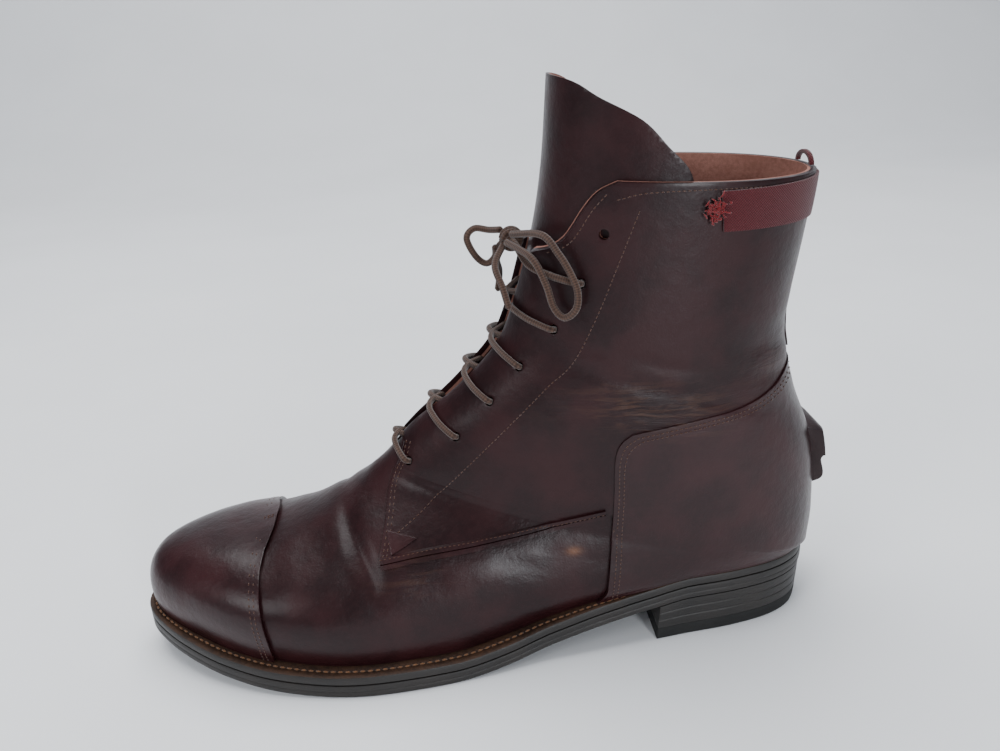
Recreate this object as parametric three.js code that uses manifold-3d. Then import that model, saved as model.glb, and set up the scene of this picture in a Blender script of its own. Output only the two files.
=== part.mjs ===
// Left riding ankle boot: a welted leather boot with seven pairs of lace holes, a toe cap,
// an outer heel counter, a spur rest and a wide tongue. Millimetres, +X towards the toe,
// +Y towards the outer (lateral) side of the left foot, +Z up. The origin is the middle of
// the flat heel. Every station along the boot is measured forwards from the sole's back.
import * as THREE from 'three';
import { mergeVertices } from 'three/addons/utils/BufferGeometryUtils.js';
import Module from 'manifold-3d';

const wasm = await Module();
wasm.setup();

// Driving sizes of the sole
const LENGTH = 303;
const BALL_WIDTH = 103;
const WAIST_WIDTH = 72;
const HEEL_WIDTH = 69;
const HEEL_SWING = 5;
const HEEL_HEIGHT = 20;
const HEEL_LENGTH = 77;
const HEEL_TAPER = 1;
const TOP_PIECE = 6;
const TOE_SPRING = 11.6;
const OUTSOLE_THICKNESS = 6.2;
const WELT_THICKNESS = 4;
const WELT_REACH = 12;
const EDGE_ROUND = 1;
const INSOLE_THICKNESS = 3.2;
const FEATHER_AT_HEEL = 2;
const FEATHER_AT_BALL = 7;
const FEATHER_AT_TIP = 5;
const FEATHER_RISE = 1;

// Driving sizes of the upper
const COLLAR_HEIGHT = 203;
const COLLAR_BACK_HEIGHT = 197.5;
const INSTEP_HEIGHT = 89;
const SHAFT_WIDTH = 72;
const WALL = 2.2;
const QUARTER_STEP = 1.2;
const OVERLAY = 1.3;
const STRIP_HEIGHT = 3.4;
const STRIP_THICKNESS = 1.1;
const STAY_WIDTH = 11;
const STAY_THICKNESS = 1;
const SPUR_WIDTH = 30;
const SPUR_REACH = 5.5;
const LOOP_WIDTH = 15;
const LOOP_RISE = 5;
const TONGUE_THICKNESS = 1.8;
const BAND_THICKNESS = 0.9;
const HOLE_DIAMETER = 4;
const LACE_DIAMETER = 2.8;

// Clearance between neighbours
const GAP = 0.3;

// The middle of the flat heel, which is the boot's origin
const HEEL_CENTRE = 0.132 * LENGTH;

// Colours by eye
const OXBLOOD = new THREE.MeshStandardMaterial({ color: 0x3a1a1c, roughness: 0.42 });
const CAP_LEATHER = new THREE.MeshStandardMaterial({ color: 0x40201f, roughness: 0.36 });
const SOLE_LEATHER = new THREE.MeshStandardMaterial({ color: 0x2a2420, roughness: 0.6 });
const RUBBER = new THREE.MeshStandardMaterial({ color: 0x1c1b1a, roughness: 0.8 });
const INSOLE_LEATHER = new THREE.MeshStandardMaterial({ color: 0x9c6b52, roughness: 0.75 });
const WOVEN_RED = new THREE.MeshStandardMaterial({ color: 0x5a1620, roughness: 0.9 });
const LACE_BROWN = new THREE.MeshStandardMaterial({ color: 0x5a4038, roughness: 0.85 });

const mix = (from, to, share) => from + (to - from) * share;
const clamp = (value, low, high) => Math.min(high, Math.max(low, value));

// A smooth curve through rows of [at, value] that never swings past a row
function steadyCurve(rows) {
  const at = rows.map((row) => row[0]);
  const value = rows.map((row) => row[1]);
  const slope = at.slice(1).map((end, i) => (value[i + 1] - value[i]) / (end - at[i]));
  const tangent = value.map((_, i) => {
    if (i === 0) return slope[0];
    if (i === slope.length) return slope[i - 1];
    const [before, after] = [slope[i - 1], slope[i]];
    return before * after <= 0 ? 0 : (2 * before * after) / (before + after);
  });
  return (x) => {
    const place = clamp(x, at[0], at[at.length - 1]);
    const i = clamp(at.findIndex((end) => end > place) - 1, 0, slope.length - 1);
    const low = place >= at[at.length - 1] ? slope.length - 1 : i;
    const step = at[low + 1] - at[low];
    const t = (place - at[low]) / step;
    return value[low] * (1 + 2 * t) * (1 - t) ** 2 + tangent[low] * step * t * (1 - t) ** 2
      + value[low + 1] * t * t * (3 - 2 * t) + tangent[low + 1] * step * t * t * (t - 1);
  };
}

// A rounder curve through evenly numbered rows, carried straight on past its ends
function roundCurve(values) {
  const value = (i) => {
    if (i < 0) return 2 * values[0] - values[1];
    if (i >= values.length) return 2 * values[values.length - 1] - values[values.length - 2];
    return values[i];
  };
  return (u) => {
    const i = clamp(Math.floor(u), 0, values.length - 2);
    const t = u - i;
    const [a, b, c, d] = [value(i - 1), value(i), value(i + 1), value(i + 2)];
    return b + 0.5 * t * (c - a + t * (2 * a - 5 * b + 4 * c - d + t * (3 * (b - c) + d - a)));
  };
}

// Height of the outsole's underside: the heel's seat, the arch, the flat tread, the toe spring
const UNDERSIDE_ROWS = [
  { along: 0, heel: 1, toe: 0 },
  { along: 0.2, heel: 1, toe: 0 },
  { along: 0.275, heel: 0.86, toe: 0 },
  { along: 0.343, heel: 0.67, toe: 0 },
  { along: 0.408, heel: 0.42, toe: 0 },
  { along: 0.474, heel: 0.16, toe: 0 },
  { along: 0.55, heel: 0, toe: 0 },
  { along: 0.69, heel: 0, toe: 0 },
  { along: 0.8, heel: 0, toe: 0.16 },
  { along: 0.866, heel: 0, toe: 0.37 },
  { along: 0.931, heel: 0, toe: 0.66 },
  { along: 1, heel: 0, toe: 1 },
];
const underside = steadyCurve(UNDERSIDE_ROWS.map(
  (row) => [row.along * LENGTH, row.heel * HEEL_HEIGHT + row.toe * TOE_SPRING],
));
const outsoleTop = (x) => underside(x) + OUTSOLE_THICKNESS;
const weltTop = (x) => outsoleTop(x) + GAP + WELT_THICKNESS;
const featherHeight = (x) => weltTop(x) + GAP + FEATHER_RISE;

// Plan of the outsole: half widths each side of the line from the heel to the toe's tip
const PLAN_ROWS = [
  { along: 0.03, width: HEEL_WIDTH, lateral: 0.33, medial: 0.315 },
  { along: 0.07, width: HEEL_WIDTH, lateral: 0.44, medial: 0.427 },
  { along: 0.13, width: HEEL_WIDTH, lateral: 0.5, medial: 0.485 },
  { along: 0.22, width: HEEL_WIDTH, lateral: 0.535, medial: 0.472 },
  { along: 0.3, width: WAIST_WIDTH, lateral: 0.55, medial: 0.4 },
  { along: 0.4, width: WAIST_WIDTH, lateral: 0.6, medial: 0.37 },
  { along: 0.5, width: BALL_WIDTH, lateral: 0.48, medial: 0.3 },
  { along: 0.6, width: BALL_WIDTH, lateral: 0.525, medial: 0.387 },
  { along: 0.68, width: BALL_WIDTH, lateral: 0.535, medial: 0.454 },
  { along: 0.74, width: BALL_WIDTH, lateral: 0.515, medial: 0.49 },
  { along: 0.8, width: BALL_WIDTH, lateral: 0.475, medial: 0.482 },
  { along: 0.87, width: BALL_WIDTH, lateral: 0.392, medial: 0.43 },
  { along: 0.93, width: BALL_WIDTH, lateral: 0.283, medial: 0.324 },
  { along: 0.97, width: BALL_WIDTH, lateral: 0.18, medial: 0.207 },
];
const LATERAL = 1;
const MEDIAL = -1;
const roundEnds = (along) => Math.sqrt(Math.max(0, along * (1 - along)));
const fullness = { [LATERAL]: 'lateral', [MEDIAL]: 'medial' };
const planCurve = {};
for (const side of [LATERAL, MEDIAL]) {
  planCurve[side] = steadyCurve(PLAN_ROWS.map(
    (row) => [row.along, (row.width * row[fullness[side]]) / roundEnds(row.along)],
  ));
}

// A point of the sole's outline, moved in by an inset square to the edge
function edgePoint(turn, side, inset) {
  const at = (t) => {
    const along = (1 - Math.cos(Math.PI * t)) / 2;
    return new THREE.Vector2(along * LENGTH, side * planCurve[side](along) * roundEnds(along));
  };
  const nudge = 0.0005;
  const here = at(turn);
  const before = turn < nudge ? at(nudge).setY(-at(nudge).y) : at(turn - nudge);
  const after = turn > 1 - nudge ? at(1 - nudge).setY(-at(1 - nudge).y) : at(turn + nudge);
  const way = after.sub(before).normalize();
  const outward = new THREE.Vector2(-way.y, way.x).multiplyScalar(side);
  here.addScaledVector(outward, -inset);
  return here.setY(here.y + swing(here.x));
}

// The heel and the leg swing a little to the medial side of the line to the toe's tip
const swing = (x) => -HEEL_SWING * (1 - THREE.MathUtils.smoothstep(x, -0.1 * LENGTH, 0.32 * LENGTH));

const turnAt = (x) => Math.acos(clamp(1 - (2 * x) / LENGTH, -1, 1)) / Math.PI;
const featherInset = (x) => {
  const rear = mix(
    FEATHER_AT_HEEL, FEATHER_AT_BALL, THREE.MathUtils.smoothstep(x, 0.22 * LENGTH, 0.48 * LENGTH),
  );
  return mix(rear, FEATHER_AT_TIP, THREE.MathUtils.smoothstep(x, 0.9 * LENGTH, LENGTH));
};

// Half width of the feather line, where the upper meets the welt
const FEATHER_STEPS = 60;
const featherCurve = {};
for (const side of [LATERAL, MEDIAL]) {
  const rows = [];
  for (let i = 0; i <= FEATHER_STEPS; i++) {
    const turn = i / FEATHER_STEPS;
    const point = edgePoint(turn, side, featherInset(edgePoint(turn, side, 0).x));
    rows.push([point.x, Math.abs(point.y - swing(point.x))]);
  }
  featherCurve[side] = rows;
}
const FEATHER_BACK = featherCurve[LATERAL][0][0];
const FEATHER_TIP = featherCurve[LATERAL][FEATHER_STEPS][0];
function featherWidth(x, side) {
  const rows = featherCurve[side];
  if (x <= rows[0][0] || x >= rows[FEATHER_STEPS][0]) return 0;
  const i = rows.findIndex((row) => row[0] > x) - 1;
  const share = (x - rows[i][0]) / (rows[i + 1][0] - rows[i][0]);
  const [low, high] = [rows[i][1], rows[i + 1][1]];
  return Math.sqrt(mix(low * low, high * high, share));
}

// Sections of the upper, from above the collar down the leg, round the heel and out to the
// toe. Each is a slanted slice from a point on the front to a point on the rear: front and
// rear are shares of the length, up is 1 at the collar, 0 at the throat's foot and -1 at the
// toe's feather, back is the rear point's height from the seat (0) to the collar (1), wide
// is the half width as a share of the ankle's or the ball's width, mid says how far down the
// slice it is widest, crown and flank how square the slice is above and below that.
const SECTION_ROWS = [
  { front: 0.3876, up: 1.32, rear: 0.034, back: 1.22, of: SHAFT_WIDTH, lateral: 0.49, medial: 0.48, mid: 0.52, crown: 2.2, flank: 2.1 },
  { front: 0.3987, up: 1, rear: 0.034, back: 1, of: SHAFT_WIDTH, lateral: 0.5, medial: 0.486, mid: 0.52, crown: 2.2, flank: 2.1 },
  { front: 0.4168, up: 0.748, rear: 0.0445, back: 0.842, of: SHAFT_WIDTH, lateral: 0.5, medial: 0.49, mid: 0.53, crown: 2.15, flank: 2.1 },
  { front: 0.447, up: 0.477, rear: 0.0565, back: 0.691, of: SHAFT_WIDTH, lateral: 0.507, medial: 0.5, mid: 0.55, crown: 2.1, flank: 2.1 },
  { front: 0.4712, up: 0.362, rear: 0.059, back: 0.612, of: SHAFT_WIDTH, lateral: 0.51, medial: 0.507, mid: 0.57, crown: 2.05, flank: 2.1 },
  { front: 0.5245, up: 0.216, rear: 0.0435, back: 0.452, of: SHAFT_WIDTH, lateral: 0.515, medial: 0.515, mid: 0.6, crown: 2, flank: 2.2 },
  { front: 0.5789, up: 0.095, rear: 0.011, back: 0.288, of: SHAFT_WIDTH, lateral: 0.51, medial: 0.51, mid: 0.64, crown: 1.95, flank: 2.4 },
  { front: 0.6111, up: 0.005, rear: 0.0035, back: 0.109, of: SHAFT_WIDTH, lateral: 0.51, medial: 0.5, mid: 0.66, crown: 1.95, flank: 2.7 },
  { front: 0.6252, up: -0.063, rear: 0.0065, back: 0, of: SHAFT_WIDTH, lateral: 0.51, medial: 0.49, mid: 0.67, crown: 1.95, flank: 2.8 },
  { front: 0.6423, up: -0.133, rear: 0.0565, back: 0, of: SHAFT_WIDTH, lateral: 0.51, medial: 0.48, mid: 0.68, crown: 1.95, flank: 2.8 },
  { front: 0.6655, up: -0.224, rear: 0.1954, back: 0, of: BALL_WIDTH, lateral: 0.37, medial: 0.33, mid: 0.62, crown: 2.1, flank: 2.6 },
  { front: 0.7017, up: -0.325, rear: 0.3665, back: 0, of: BALL_WIDTH, lateral: 0.425, medial: 0.345, mid: 0.62, crown: 2.2, flank: 2.4 },
  { front: 0.751, up: -0.44, rear: 0.5376, back: 0, of: BALL_WIDTH, lateral: 0.475, medial: 0.38, mid: 0.66, crown: 2.2, flank: 2.2 },
  { front: 0.8094, up: -0.53, rear: 0.6886, back: 0, of: BALL_WIDTH, lateral: 0.482, medial: 0.44, mid: 0.7, crown: 2.2, flank: 2.2 },
  { front: 0.8688, up: -0.558, rear: 0.8134, back: 0, of: BALL_WIDTH, lateral: 0.4, medial: 0.42, mid: 0.76, crown: 2.3, flank: 2.2 },
  { front: 0.9252, up: -0.592, rear: 0.902, back: 0, of: BALL_WIDTH, lateral: 0.26, medial: 0.3, mid: 0.76, crown: 2.3, flank: 2.2 },
  { front: 0.968, up: -0.66, rear: 0.9554, back: 0, of: BALL_WIDTH, lateral: 0.1, medial: 0.12, mid: 0.76, crown: 2.2, flank: 2.2 },
  { front: 0.986, up: -0.8, rear: 0.98, back: 0, of: BALL_WIDTH, lateral: 0.03, medial: 0.03, mid: 0.76, crown: 2.1, flank: 2.2 },
];
const COLLAR_ROW = 1;
const SEAT_ROW = 8;
const TIP_ROW = SECTION_ROWS.length;
const TOE_BULGE = 0.8;
const CREST_SHIFT = -0.03 * BALL_WIDTH;

const TOE_FEATHER = featherHeight(FEATHER_TIP);
const SEAT_HEIGHT = featherHeight(0);
const frontHeight = (up) => (up >= 0
  ? mix(INSTEP_HEIGHT, COLLAR_HEIGHT, up)
  : mix(INSTEP_HEIGHT, TOE_FEATHER, -up));

const frontX = roundCurve([...SECTION_ROWS.map((row) => row.front * LENGTH), FEATHER_TIP]);
const frontZ = roundCurve([...SECTION_ROWS.map((row) => frontHeight(row.up)), TOE_FEATHER + GAP]);
const backRows = SECTION_ROWS.slice(0, SEAT_ROW);
const backX = roundCurve([...backRows.map((row) => row.rear * LENGTH), FEATHER_BACK]);
const FOOT_DROP = 7;
const backZ = roundCurve(
  [...backRows.map((row) => mix(SEAT_HEIGHT, COLLAR_BACK_HEIGHT, row.back)), SEAT_HEIGHT],
);
const footRows = SECTION_ROWS.slice(SEAT_ROW + 1);
const footX = steadyCurve([
  [SEAT_ROW, FEATHER_BACK],
  ...footRows.map((row, i) => [SEAT_ROW + 1 + i, row.rear * LENGTH]),
  [TIP_ROW, FEATHER_TIP],
]);
const column = (name, end) => roundCurve([...SECTION_ROWS.map((row) => row[name]), end]);
const midShare = column('mid', 0.76);
const crownPower = column('crown', 2.1);
const flankPower = column('flank', 2.2);
const wideCurve = {};
for (const side of [LATERAL, MEDIAL]) {
  wideCurve[side] = roundCurve([...SECTION_ROWS.map((row) => row.of * row[fullness[side]]), 0]);
}

// Places along one side of a section: evenly over the toe, closer at both ends up the leg
const SIDE_POINTS = 10;
const END_CROWDING = 0.75;
function sideShares(row) {
  const crowding = END_CROWDING * (1 - THREE.MathUtils.smoothstep(row, SEAT_ROW + 1, SEAT_ROW + 4));
  return [...Array(SIDE_POINTS).keys()].map((k) => {
    const even = k / (SIDE_POINTS - 1);
    return mix(even, (1 - Math.cos(Math.PI * even)) / 2, crowding);
  });
}

// One side of one section, as points from the front to the rear
const DENSE = 72;
function sectionSide(row, side, shares = sideShares(row)) {
  const front = new THREE.Vector3(frontX(row), 0, frontZ(row));
  const onFoot = row > SEAT_ROW;
  const rear = onFoot
    ? new THREE.Vector3(footX(row), 0, featherHeight(footX(row)))
    : new THREE.Vector3(backX(row), 0, backZ(row));
  const foot = onFoot ? featherWidth(rear.x, side) : 0;
  const wide = Math.max(wideCurve[side](row), foot + Math.min(TOE_BULGE, foot));
  const [mid, crown, flank] = [midShare(row), crownPower(row), flankPower(row)];
  const reach = (1 - mid) / (1 - (foot / Math.max(wide, GAP)) ** flank) ** (1 / flank);
  const crest = CREST_SHIFT * THREE.MathUtils.smoothstep(row, SEAT_ROW - 1, SEAT_ROW + 4)
    * (1 - THREE.MathUtils.smoothstep(row, TIP_ROW - 3, TIP_ROW));
  const dense = [];
  for (let i = 0; i <= DENSE; i++) {
    const share = (1 - Math.cos((Math.PI * i) / DENSE)) / 2;
    const inner = share < mid
      ? 1 - ((mid - share) / mid) ** crown
      : 1 - ((share - mid) / reach) ** flank;
    const half = wide * Math.max(0, inner) ** (1 / (share < mid ? crown : flank));
    const point = front.clone().lerp(rear, share);
    point.y = side * half + crest * (1 - Math.min(1, share / mid)) ** 2 + swing(point.x);
    dense.push(point);
  }
  const run = [0];
  dense.slice(1).forEach((point, i) => run.push(run[i] + point.distanceTo(dense[i])));
  const total = run[DENSE];
  return shares.map((part) => {
    const target = total * part;
    const i = clamp(run.filter((length) => length < target).length - 1, 0, DENSE - 1);
    const share = (target - run[i]) / Math.max(run[i + 1] - run[i], 1e-6);
    return dense[i].clone().lerp(dense[i + 1], clamp(share, 0, 1));
  });
}

// A point of the skin, raised square to it, from its row and its share of the way down a side
const NUDGE = 0.02;
function skinPoint(row, share, side, raise = 0) {
  const at = (r, s) => (s < 0 ? sectionSide(r, -side, [-s])[0] : sectionSide(r, side, [s])[0]);
  const point = at(row, share);
  const down = at(row + NUDGE, share).sub(at(row - NUDGE, share));
  const round = at(row, share + NUDGE).sub(at(row, share - NUDGE));
  const normal = down.cross(round).multiplyScalar(side).normalize();
  return { point: point.addScaledVector(normal, raise), normal };
}

// The row and share at which a side of the skin stands at a place of the side view
const SEARCH_ROWS = 120;
function placeOnSkin(x, z, side) {
  let best = { miss: Infinity };
  for (let i = 0; i <= SEARCH_ROWS; i++) {
    const row = mix(COLLAR_ROW, SEAT_ROW + 3, i / SEARCH_ROWS);
    const shares = [...Array(61).keys()].map((k) => (0.6 * k) / 60);
    sectionSide(row, side, shares).forEach((point, k) => {
      const miss = Math.hypot(point.x - x, point.z - z);
      if (miss < best.miss) best = { miss, row, share: shares[k] };
    });
  }
  return best;
}

// A ring of the whole section, with its foot carried straight down past the feather line
function sectionRing(row) {
  const outer = sectionSide(row, LATERAL);
  const inner = sectionSide(row, MEDIAL);
  inner[0].copy(outer[0]);
  const drop = row >= SEAT_ROW ? FOOT_DROP : 0;
  const down = (point) => point.clone().setZ(point.z - drop);
  const last = SIDE_POINTS - 1;
  return [...outer, down(outer[last]), down(inner[last]), ...inner.slice(1).reverse()];
}

// The rows at which rings are cut: half rows between two rows and again past a third, with
// more round the heel
const HEEL_EXTRAS = [0.15, 0.45].map((extra) => SEAT_ROW + extra);
const ringRows = (halfFrom, halfTo, halfAgain) => {
  const rows = [];
  for (let row = COLLAR_ROW; row <= TIP_ROW; row += 0.5) {
    const whole = Number.isInteger(row);
    if (whole || (row > halfFrom && row < halfTo) || row > halfAgain) rows.push(row);
    if (row === SEAT_ROW) rows.push(...HEEL_EXTRAS);
  }
  return rows;
};

// Closed geometry from a list of triangles, without the ones that merging made flat
function closedGeometry(positions, triangles) {
  const geometry = new THREE.BufferGeometry();
  geometry.setAttribute('position', new THREE.Float32BufferAttribute(positions, 3));
  geometry.setIndex(triangles);
  const merged = mergeVertices(geometry, 1e-3);
  const index = merged.getIndex().array;
  const kept = [];
  for (let i = 0; i < index.length; i += 3) {
    const [a, b, c] = [index[i], index[i + 1], index[i + 2]];
    if (a !== b && b !== c && c !== a) kept.push(a, b, c);
  }
  merged.setIndex(kept);
  return merged;
}

// A skin over rings of equal count, with a fan over each end that is not closed to a point
function loft(rings, { endless = false } = {}) {
  const count = rings[0].length;
  const positions = rings.flat().flatMap((point) => point.toArray());
  const triangles = [];
  const bands = endless ? rings.length : rings.length - 1;
  for (let i = 0; i < bands; i++) {
    const next = (i + 1) % rings.length;
    for (let j = 0; j < count; j++) {
      const [a, b] = [i * count + j, i * count + ((j + 1) % count)];
      const [c, d] = [next * count + j, next * count + ((j + 1) % count)];
      triangles.push(a, b, d, a, d, c);
    }
  }
  const fan = (ring, first, flipped) => {
    const middle = new THREE.Vector3();
    ring.forEach((point) => middle.add(point));
    middle.divideScalar(count);
    const size = Math.max(...ring.map((point) => point.distanceTo(middle)));
    if (size < 1e-3) return;
    const hub = positions.length / 3;
    positions.push(...middle.toArray());
    for (let j = 0; j < count; j++) {
      const [a, b] = [first + j, first + ((j + 1) % count)];
      triangles.push(...(flipped ? [hub, b, a] : [hub, a, b]));
    }
  };
  if (!endless) {
    fan(rings[0], 0, true);
    fan(rings[rings.length - 1], (rings.length - 1) * count, false);
  }
  return closedGeometry(positions, triangles);
}

// Solids for cutting and joining
function solidOf(geometry) {
  const bare = geometry.index && !geometry.attributes.uv && !geometry.attributes.normal
    ? geometry
    : bareGeometry(geometry);
  const mesh = {
    numProp: 3,
    vertProperties: new Float32Array(bare.attributes.position.array),
    triVerts: new Uint32Array(bare.getIndex().array),
  };
  const solid = new wasm.Manifold(new wasm.Mesh(mesh));
  if (solid.volume() > 0) return solid;
  mesh.triVerts = mesh.triVerts.slice().reverse();
  return new wasm.Manifold(new wasm.Mesh(mesh));
}
function bareGeometry(geometry) {
  const copy = geometry.clone();
  copy.deleteAttribute('normal');
  copy.deleteAttribute('uv');
  const merged = mergeVertices(copy, 1e-3);
  return closedGeometry([...merged.attributes.position.array], [...merged.getIndex().array]);
}
function geometryOf(solid) {
  const mesh = solid.getMesh();
  const geometry = new THREE.BufferGeometry();
  geometry.setAttribute('position', new THREE.BufferAttribute(mesh.vertProperties, 3));
  geometry.setIndex(new THREE.BufferAttribute(mesh.triVerts, 1));
  geometry.computeVertexNormals();
  return geometry;
}

// The upper's form grown or shrunk by an offset square to its skin
const RINGS = ringRows(3, 12, 14);
const LINING_RINGS = ringRows(8, 10, 14);
const TALL_RINGS = [0, 0.5, ...LINING_RINGS];
const TINY = 0.02;
function skinNormal(rings, i, j) {
  const ring = rings[i];
  const neighbour = (step) => {
    let k = j;
    do {
      k = (k + step + ring.length) % ring.length;
    } while (k !== j && ring[k].distanceTo(ring[j]) < TINY);
    return ring[k];
  };
  const down = rings[Math.min(i + 1, rings.length - 1)][j].clone().sub(rings[Math.max(i - 1, 0)][j]);
  const round = neighbour(1).clone().sub(neighbour(-1));
  const normal = down.cross(round);
  const straight = new THREE.Vector3(i > rings.length / 2 ? 1 : -1, 0, 0);
  return normal.length() < TINY ? straight : normal.normalize();
}
function grownForm(offset, rows = RINGS, lift = 0) {
  const rings = rows.map(sectionRing);
  const grown = rings.map((ring, i) => ring.map((point, j) => {
    const normal = skinNormal(rings, i, j);
    if (i === 0) normal.setZ(0).normalize();
    return point.clone().addScaledVector(normal, offset);
  }));
  grown[0].forEach((point, j) => {
    const up = point.clone().sub(grown[1][j]);
    point.addScaledVector(up, lift / up.z);
  });
  return solidOf(loft(grown));
}

// A slab across the boot whose side view is an outline of [x, z] points
const BREADTH = 200;
function sideSlab(outline, from = -BREADTH / 2, to = BREADTH / 2) {
  const shape = new THREE.Shape(outline.map(([x, z]) => new THREE.Vector2(x, z)));
  const geometry = new THREE.ExtrudeGeometry(shape, { depth: to - from, bevelEnabled: false });
  geometry.rotateX(Math.PI / 2);
  geometry.translate(0, to, 0);
  return solidOf(geometry);
}

const boot = new THREE.Group();
boot.position.x = -HEEL_CENTRE;
function addPiece(name, geometry, material) {
  const piece = new THREE.Mesh(geometry, material);
  piece.name = name;
  boot.add(piece);
}

// Sole: stations along the boot, each with its section's corners as insets and heights
const SOLE_STATIONS = 32;
function plate(corners, from = 0, to = 1, stations = SOLE_STATIONS) {
  const rings = [];
  for (let i = 0; i <= stations; i++) {
    const turn = mix(from, to, i / stations);
    const along = (side) => corners.map(({ inset, height }) => {
      const base = edgePoint(turn, side, 0);
      const point = edgePoint(turn, side, typeof inset === 'function' ? inset(base.x) : inset);
      return new THREE.Vector3(point.x, point.y, height(point.x));
    });
    rings.push([...along(LATERAL), ...along(MEDIAL).reverse()]);
  }
  return loft(rings);
}
addPiece('outsole', plate([
  { inset: EDGE_ROUND, height: underside },
  { inset: 0, height: (x) => underside(x) + EDGE_ROUND },
  { inset: 0, height: (x) => outsoleTop(x) - EDGE_ROUND / 2 },
  { inset: EDGE_ROUND / 2, height: outsoleTop },
]), SOLE_LEATHER);

const weltInset = (x) => featherInset(x) + WELT_REACH - FEATHER_AT_BALL;
function weltGeometry() {
  const corners = [
    { inset: () => EDGE_ROUND / 2, height: (x) => outsoleTop(x) + GAP },
    { inset: () => 0, height: (x) => outsoleTop(x) + GAP + EDGE_ROUND / 2 },
    { inset: () => 0, height: (x) => weltTop(x) - EDGE_ROUND },
    { inset: () => EDGE_ROUND, height: weltTop },
    { inset: weltInset, height: weltTop },
    { inset: weltInset, height: (x) => outsoleTop(x) + GAP },
  ];
  const rings = [];
  for (let i = 0; i < 2 * SOLE_STATIONS; i++) {
    const side = i < SOLE_STATIONS ? LATERAL : MEDIAL;
    const turn = i < SOLE_STATIONS ? i / SOLE_STATIONS : 2 - i / SOLE_STATIONS;
    rings.push(corners.map(({ inset, height }) => {
      const point = edgePoint(turn, side, inset(edgePoint(turn, side, 0).x));
      return new THREE.Vector3(point.x, point.y, height(point.x));
    }));
  }
  return loft(rings, { endless: true });
}
addPiece('welt', weltGeometry(), SOLE_LEATHER);

const ribInset = (x) => weltInset(x) + GAP;
const insoleInset = (x) => featherInset(x) + 2 * WALL + 2 * GAP;
addPiece('insole', plate([
  { inset: ribInset, height: (x) => outsoleTop(x) + GAP },
  { inset: ribInset, height: (x) => weltTop(x) + GAP },
  { inset: insoleInset, height: (x) => weltTop(x) + GAP },
  { inset: insoleInset, height: (x) => weltTop(x) + GAP + INSOLE_THICKNESS },
]), INSOLE_LEATHER);

// Heel: lifts and top piece, tapered to the floor and cut square at the breast
const HEEL_INSET = 0.4;
const heelInset = (height) => HEEL_INSET + HEEL_TAPER * (1 - height / HEEL_HEIGHT);
function heelBlock(bottom, top) {
  const past = turnAt(HEEL_LENGTH + 4);
  const block = solidOf(plate([
    { inset: heelInset(bottom), height: () => bottom },
    { inset: heelInset(top(0)), height: top },
  ], 0, past, 18));
  return block.intersect(sideSlab([
    [-HEEL_LENGTH, -1], [HEEL_LENGTH, -1], [HEEL_LENGTH - 2, 2 * HEEL_HEIGHT], [-HEEL_LENGTH, 2 * HEEL_HEIGHT],
  ]));
}
addPiece('heel_top_piece', geometryOf(heelBlock(0, () => TOP_PIECE)), RUBBER);
addPiece('heel_stack', geometryOf(
  heelBlock(TOP_PIECE + GAP, (x) => underside(x) - GAP),
), SOLE_LEATHER);

// Everything above the welt's top
const WELT_STEPS = 20;
function aboveWelt() {
  const outline = [];
  for (let i = 0; i <= WELT_STEPS; i++) {
    const x = mix(-0.05, 1.05, i / WELT_STEPS) * LENGTH;
    outline.push([x, weltTop(x) + GAP]);
  }
  return [...outline, [1.05 * LENGTH, 2 * COLLAR_HEIGHT], [-0.05 * LENGTH, 2 * COLLAR_HEIGHT]];
}
const standing = sideSlab(aboveWelt());

// Outlines of the panels in side view: along is a share of the length from the sole's back,
// up a share of the collar's height
// The outer counter: its front edge, rounded corner and top edge
const COUNTER_OUTLINE = [
  { along: 0.329, up: 0.059 },
  { along: 0.329, up: 0.153 },
  { along: 0.324, up: 0.233 },
  { along: 0.32, up: 0.311 },
  { along: 0.318, up: 0.379 },
  { along: 0.317, up: 0.449 },
  { along: 0.311, up: 0.485 },
  { along: 0.298, up: 0.504 },
  { along: 0.284, up: 0.511 },
  { along: 0.204, up: 0.529 },
  { along: 0.147, up: 0.537 },
  { along: 0.108, up: 0.552 },
  { along: 0.073, up: 0.571 },
  { along: 0.026, up: 0.596 },
  { along: -0.05, up: 0.626 },
  { along: -0.05, up: 0.059 },
];
// The quarter: its lower edge, then its front edge up to the foot of the throat
const QUARTER_OUTLINE = [
  { along: 0.297, up: 0.332 },
  { along: 0.327, up: 0.323 },
  { along: 0.419, up: 0.294 },
  { along: 0.503, up: 0.28 },
  { along: 0.578, up: 0.271 },
  { along: 0.643, up: 0.257 },
  { along: 0.636, up: 0.295 },
  { along: 0.63, up: 0.329 },
  { along: 0.625, up: 0.364 },
  { along: 0.617, up: 0.394 },
  { along: 0.605, up: 0.427 },
  { along: 0.597, up: 0.458 },
  { along: 0.597, up: 1.232 },
  { along: -0.05, up: 1.232 },
  { along: -0.05, up: 0.33 },
];
// What is cut away in front of the collar and down the rounded corner of the facing
const COLLAR_CORNER = [
  { along: 0.277, up: 1.02 },
  { along: 0.29, up: 1.008 },
  { along: 0.309, up: 0.995 },
  { along: 0.333, up: 0.976 },
  { along: 0.349, up: 0.947 },
  { along: 0.364, up: 0.909 },
  { along: 0.373, up: 0.889 },
  { along: 0.386, up: 0.872 },
  { along: 0.403, up: 0.86 },
  { along: 0.429, up: 0.847 },
  { along: 0.545, up: 0.847 },
  { along: 0.545, up: 1.232 },
  { along: 0.277, up: 1.232 },
];
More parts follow.
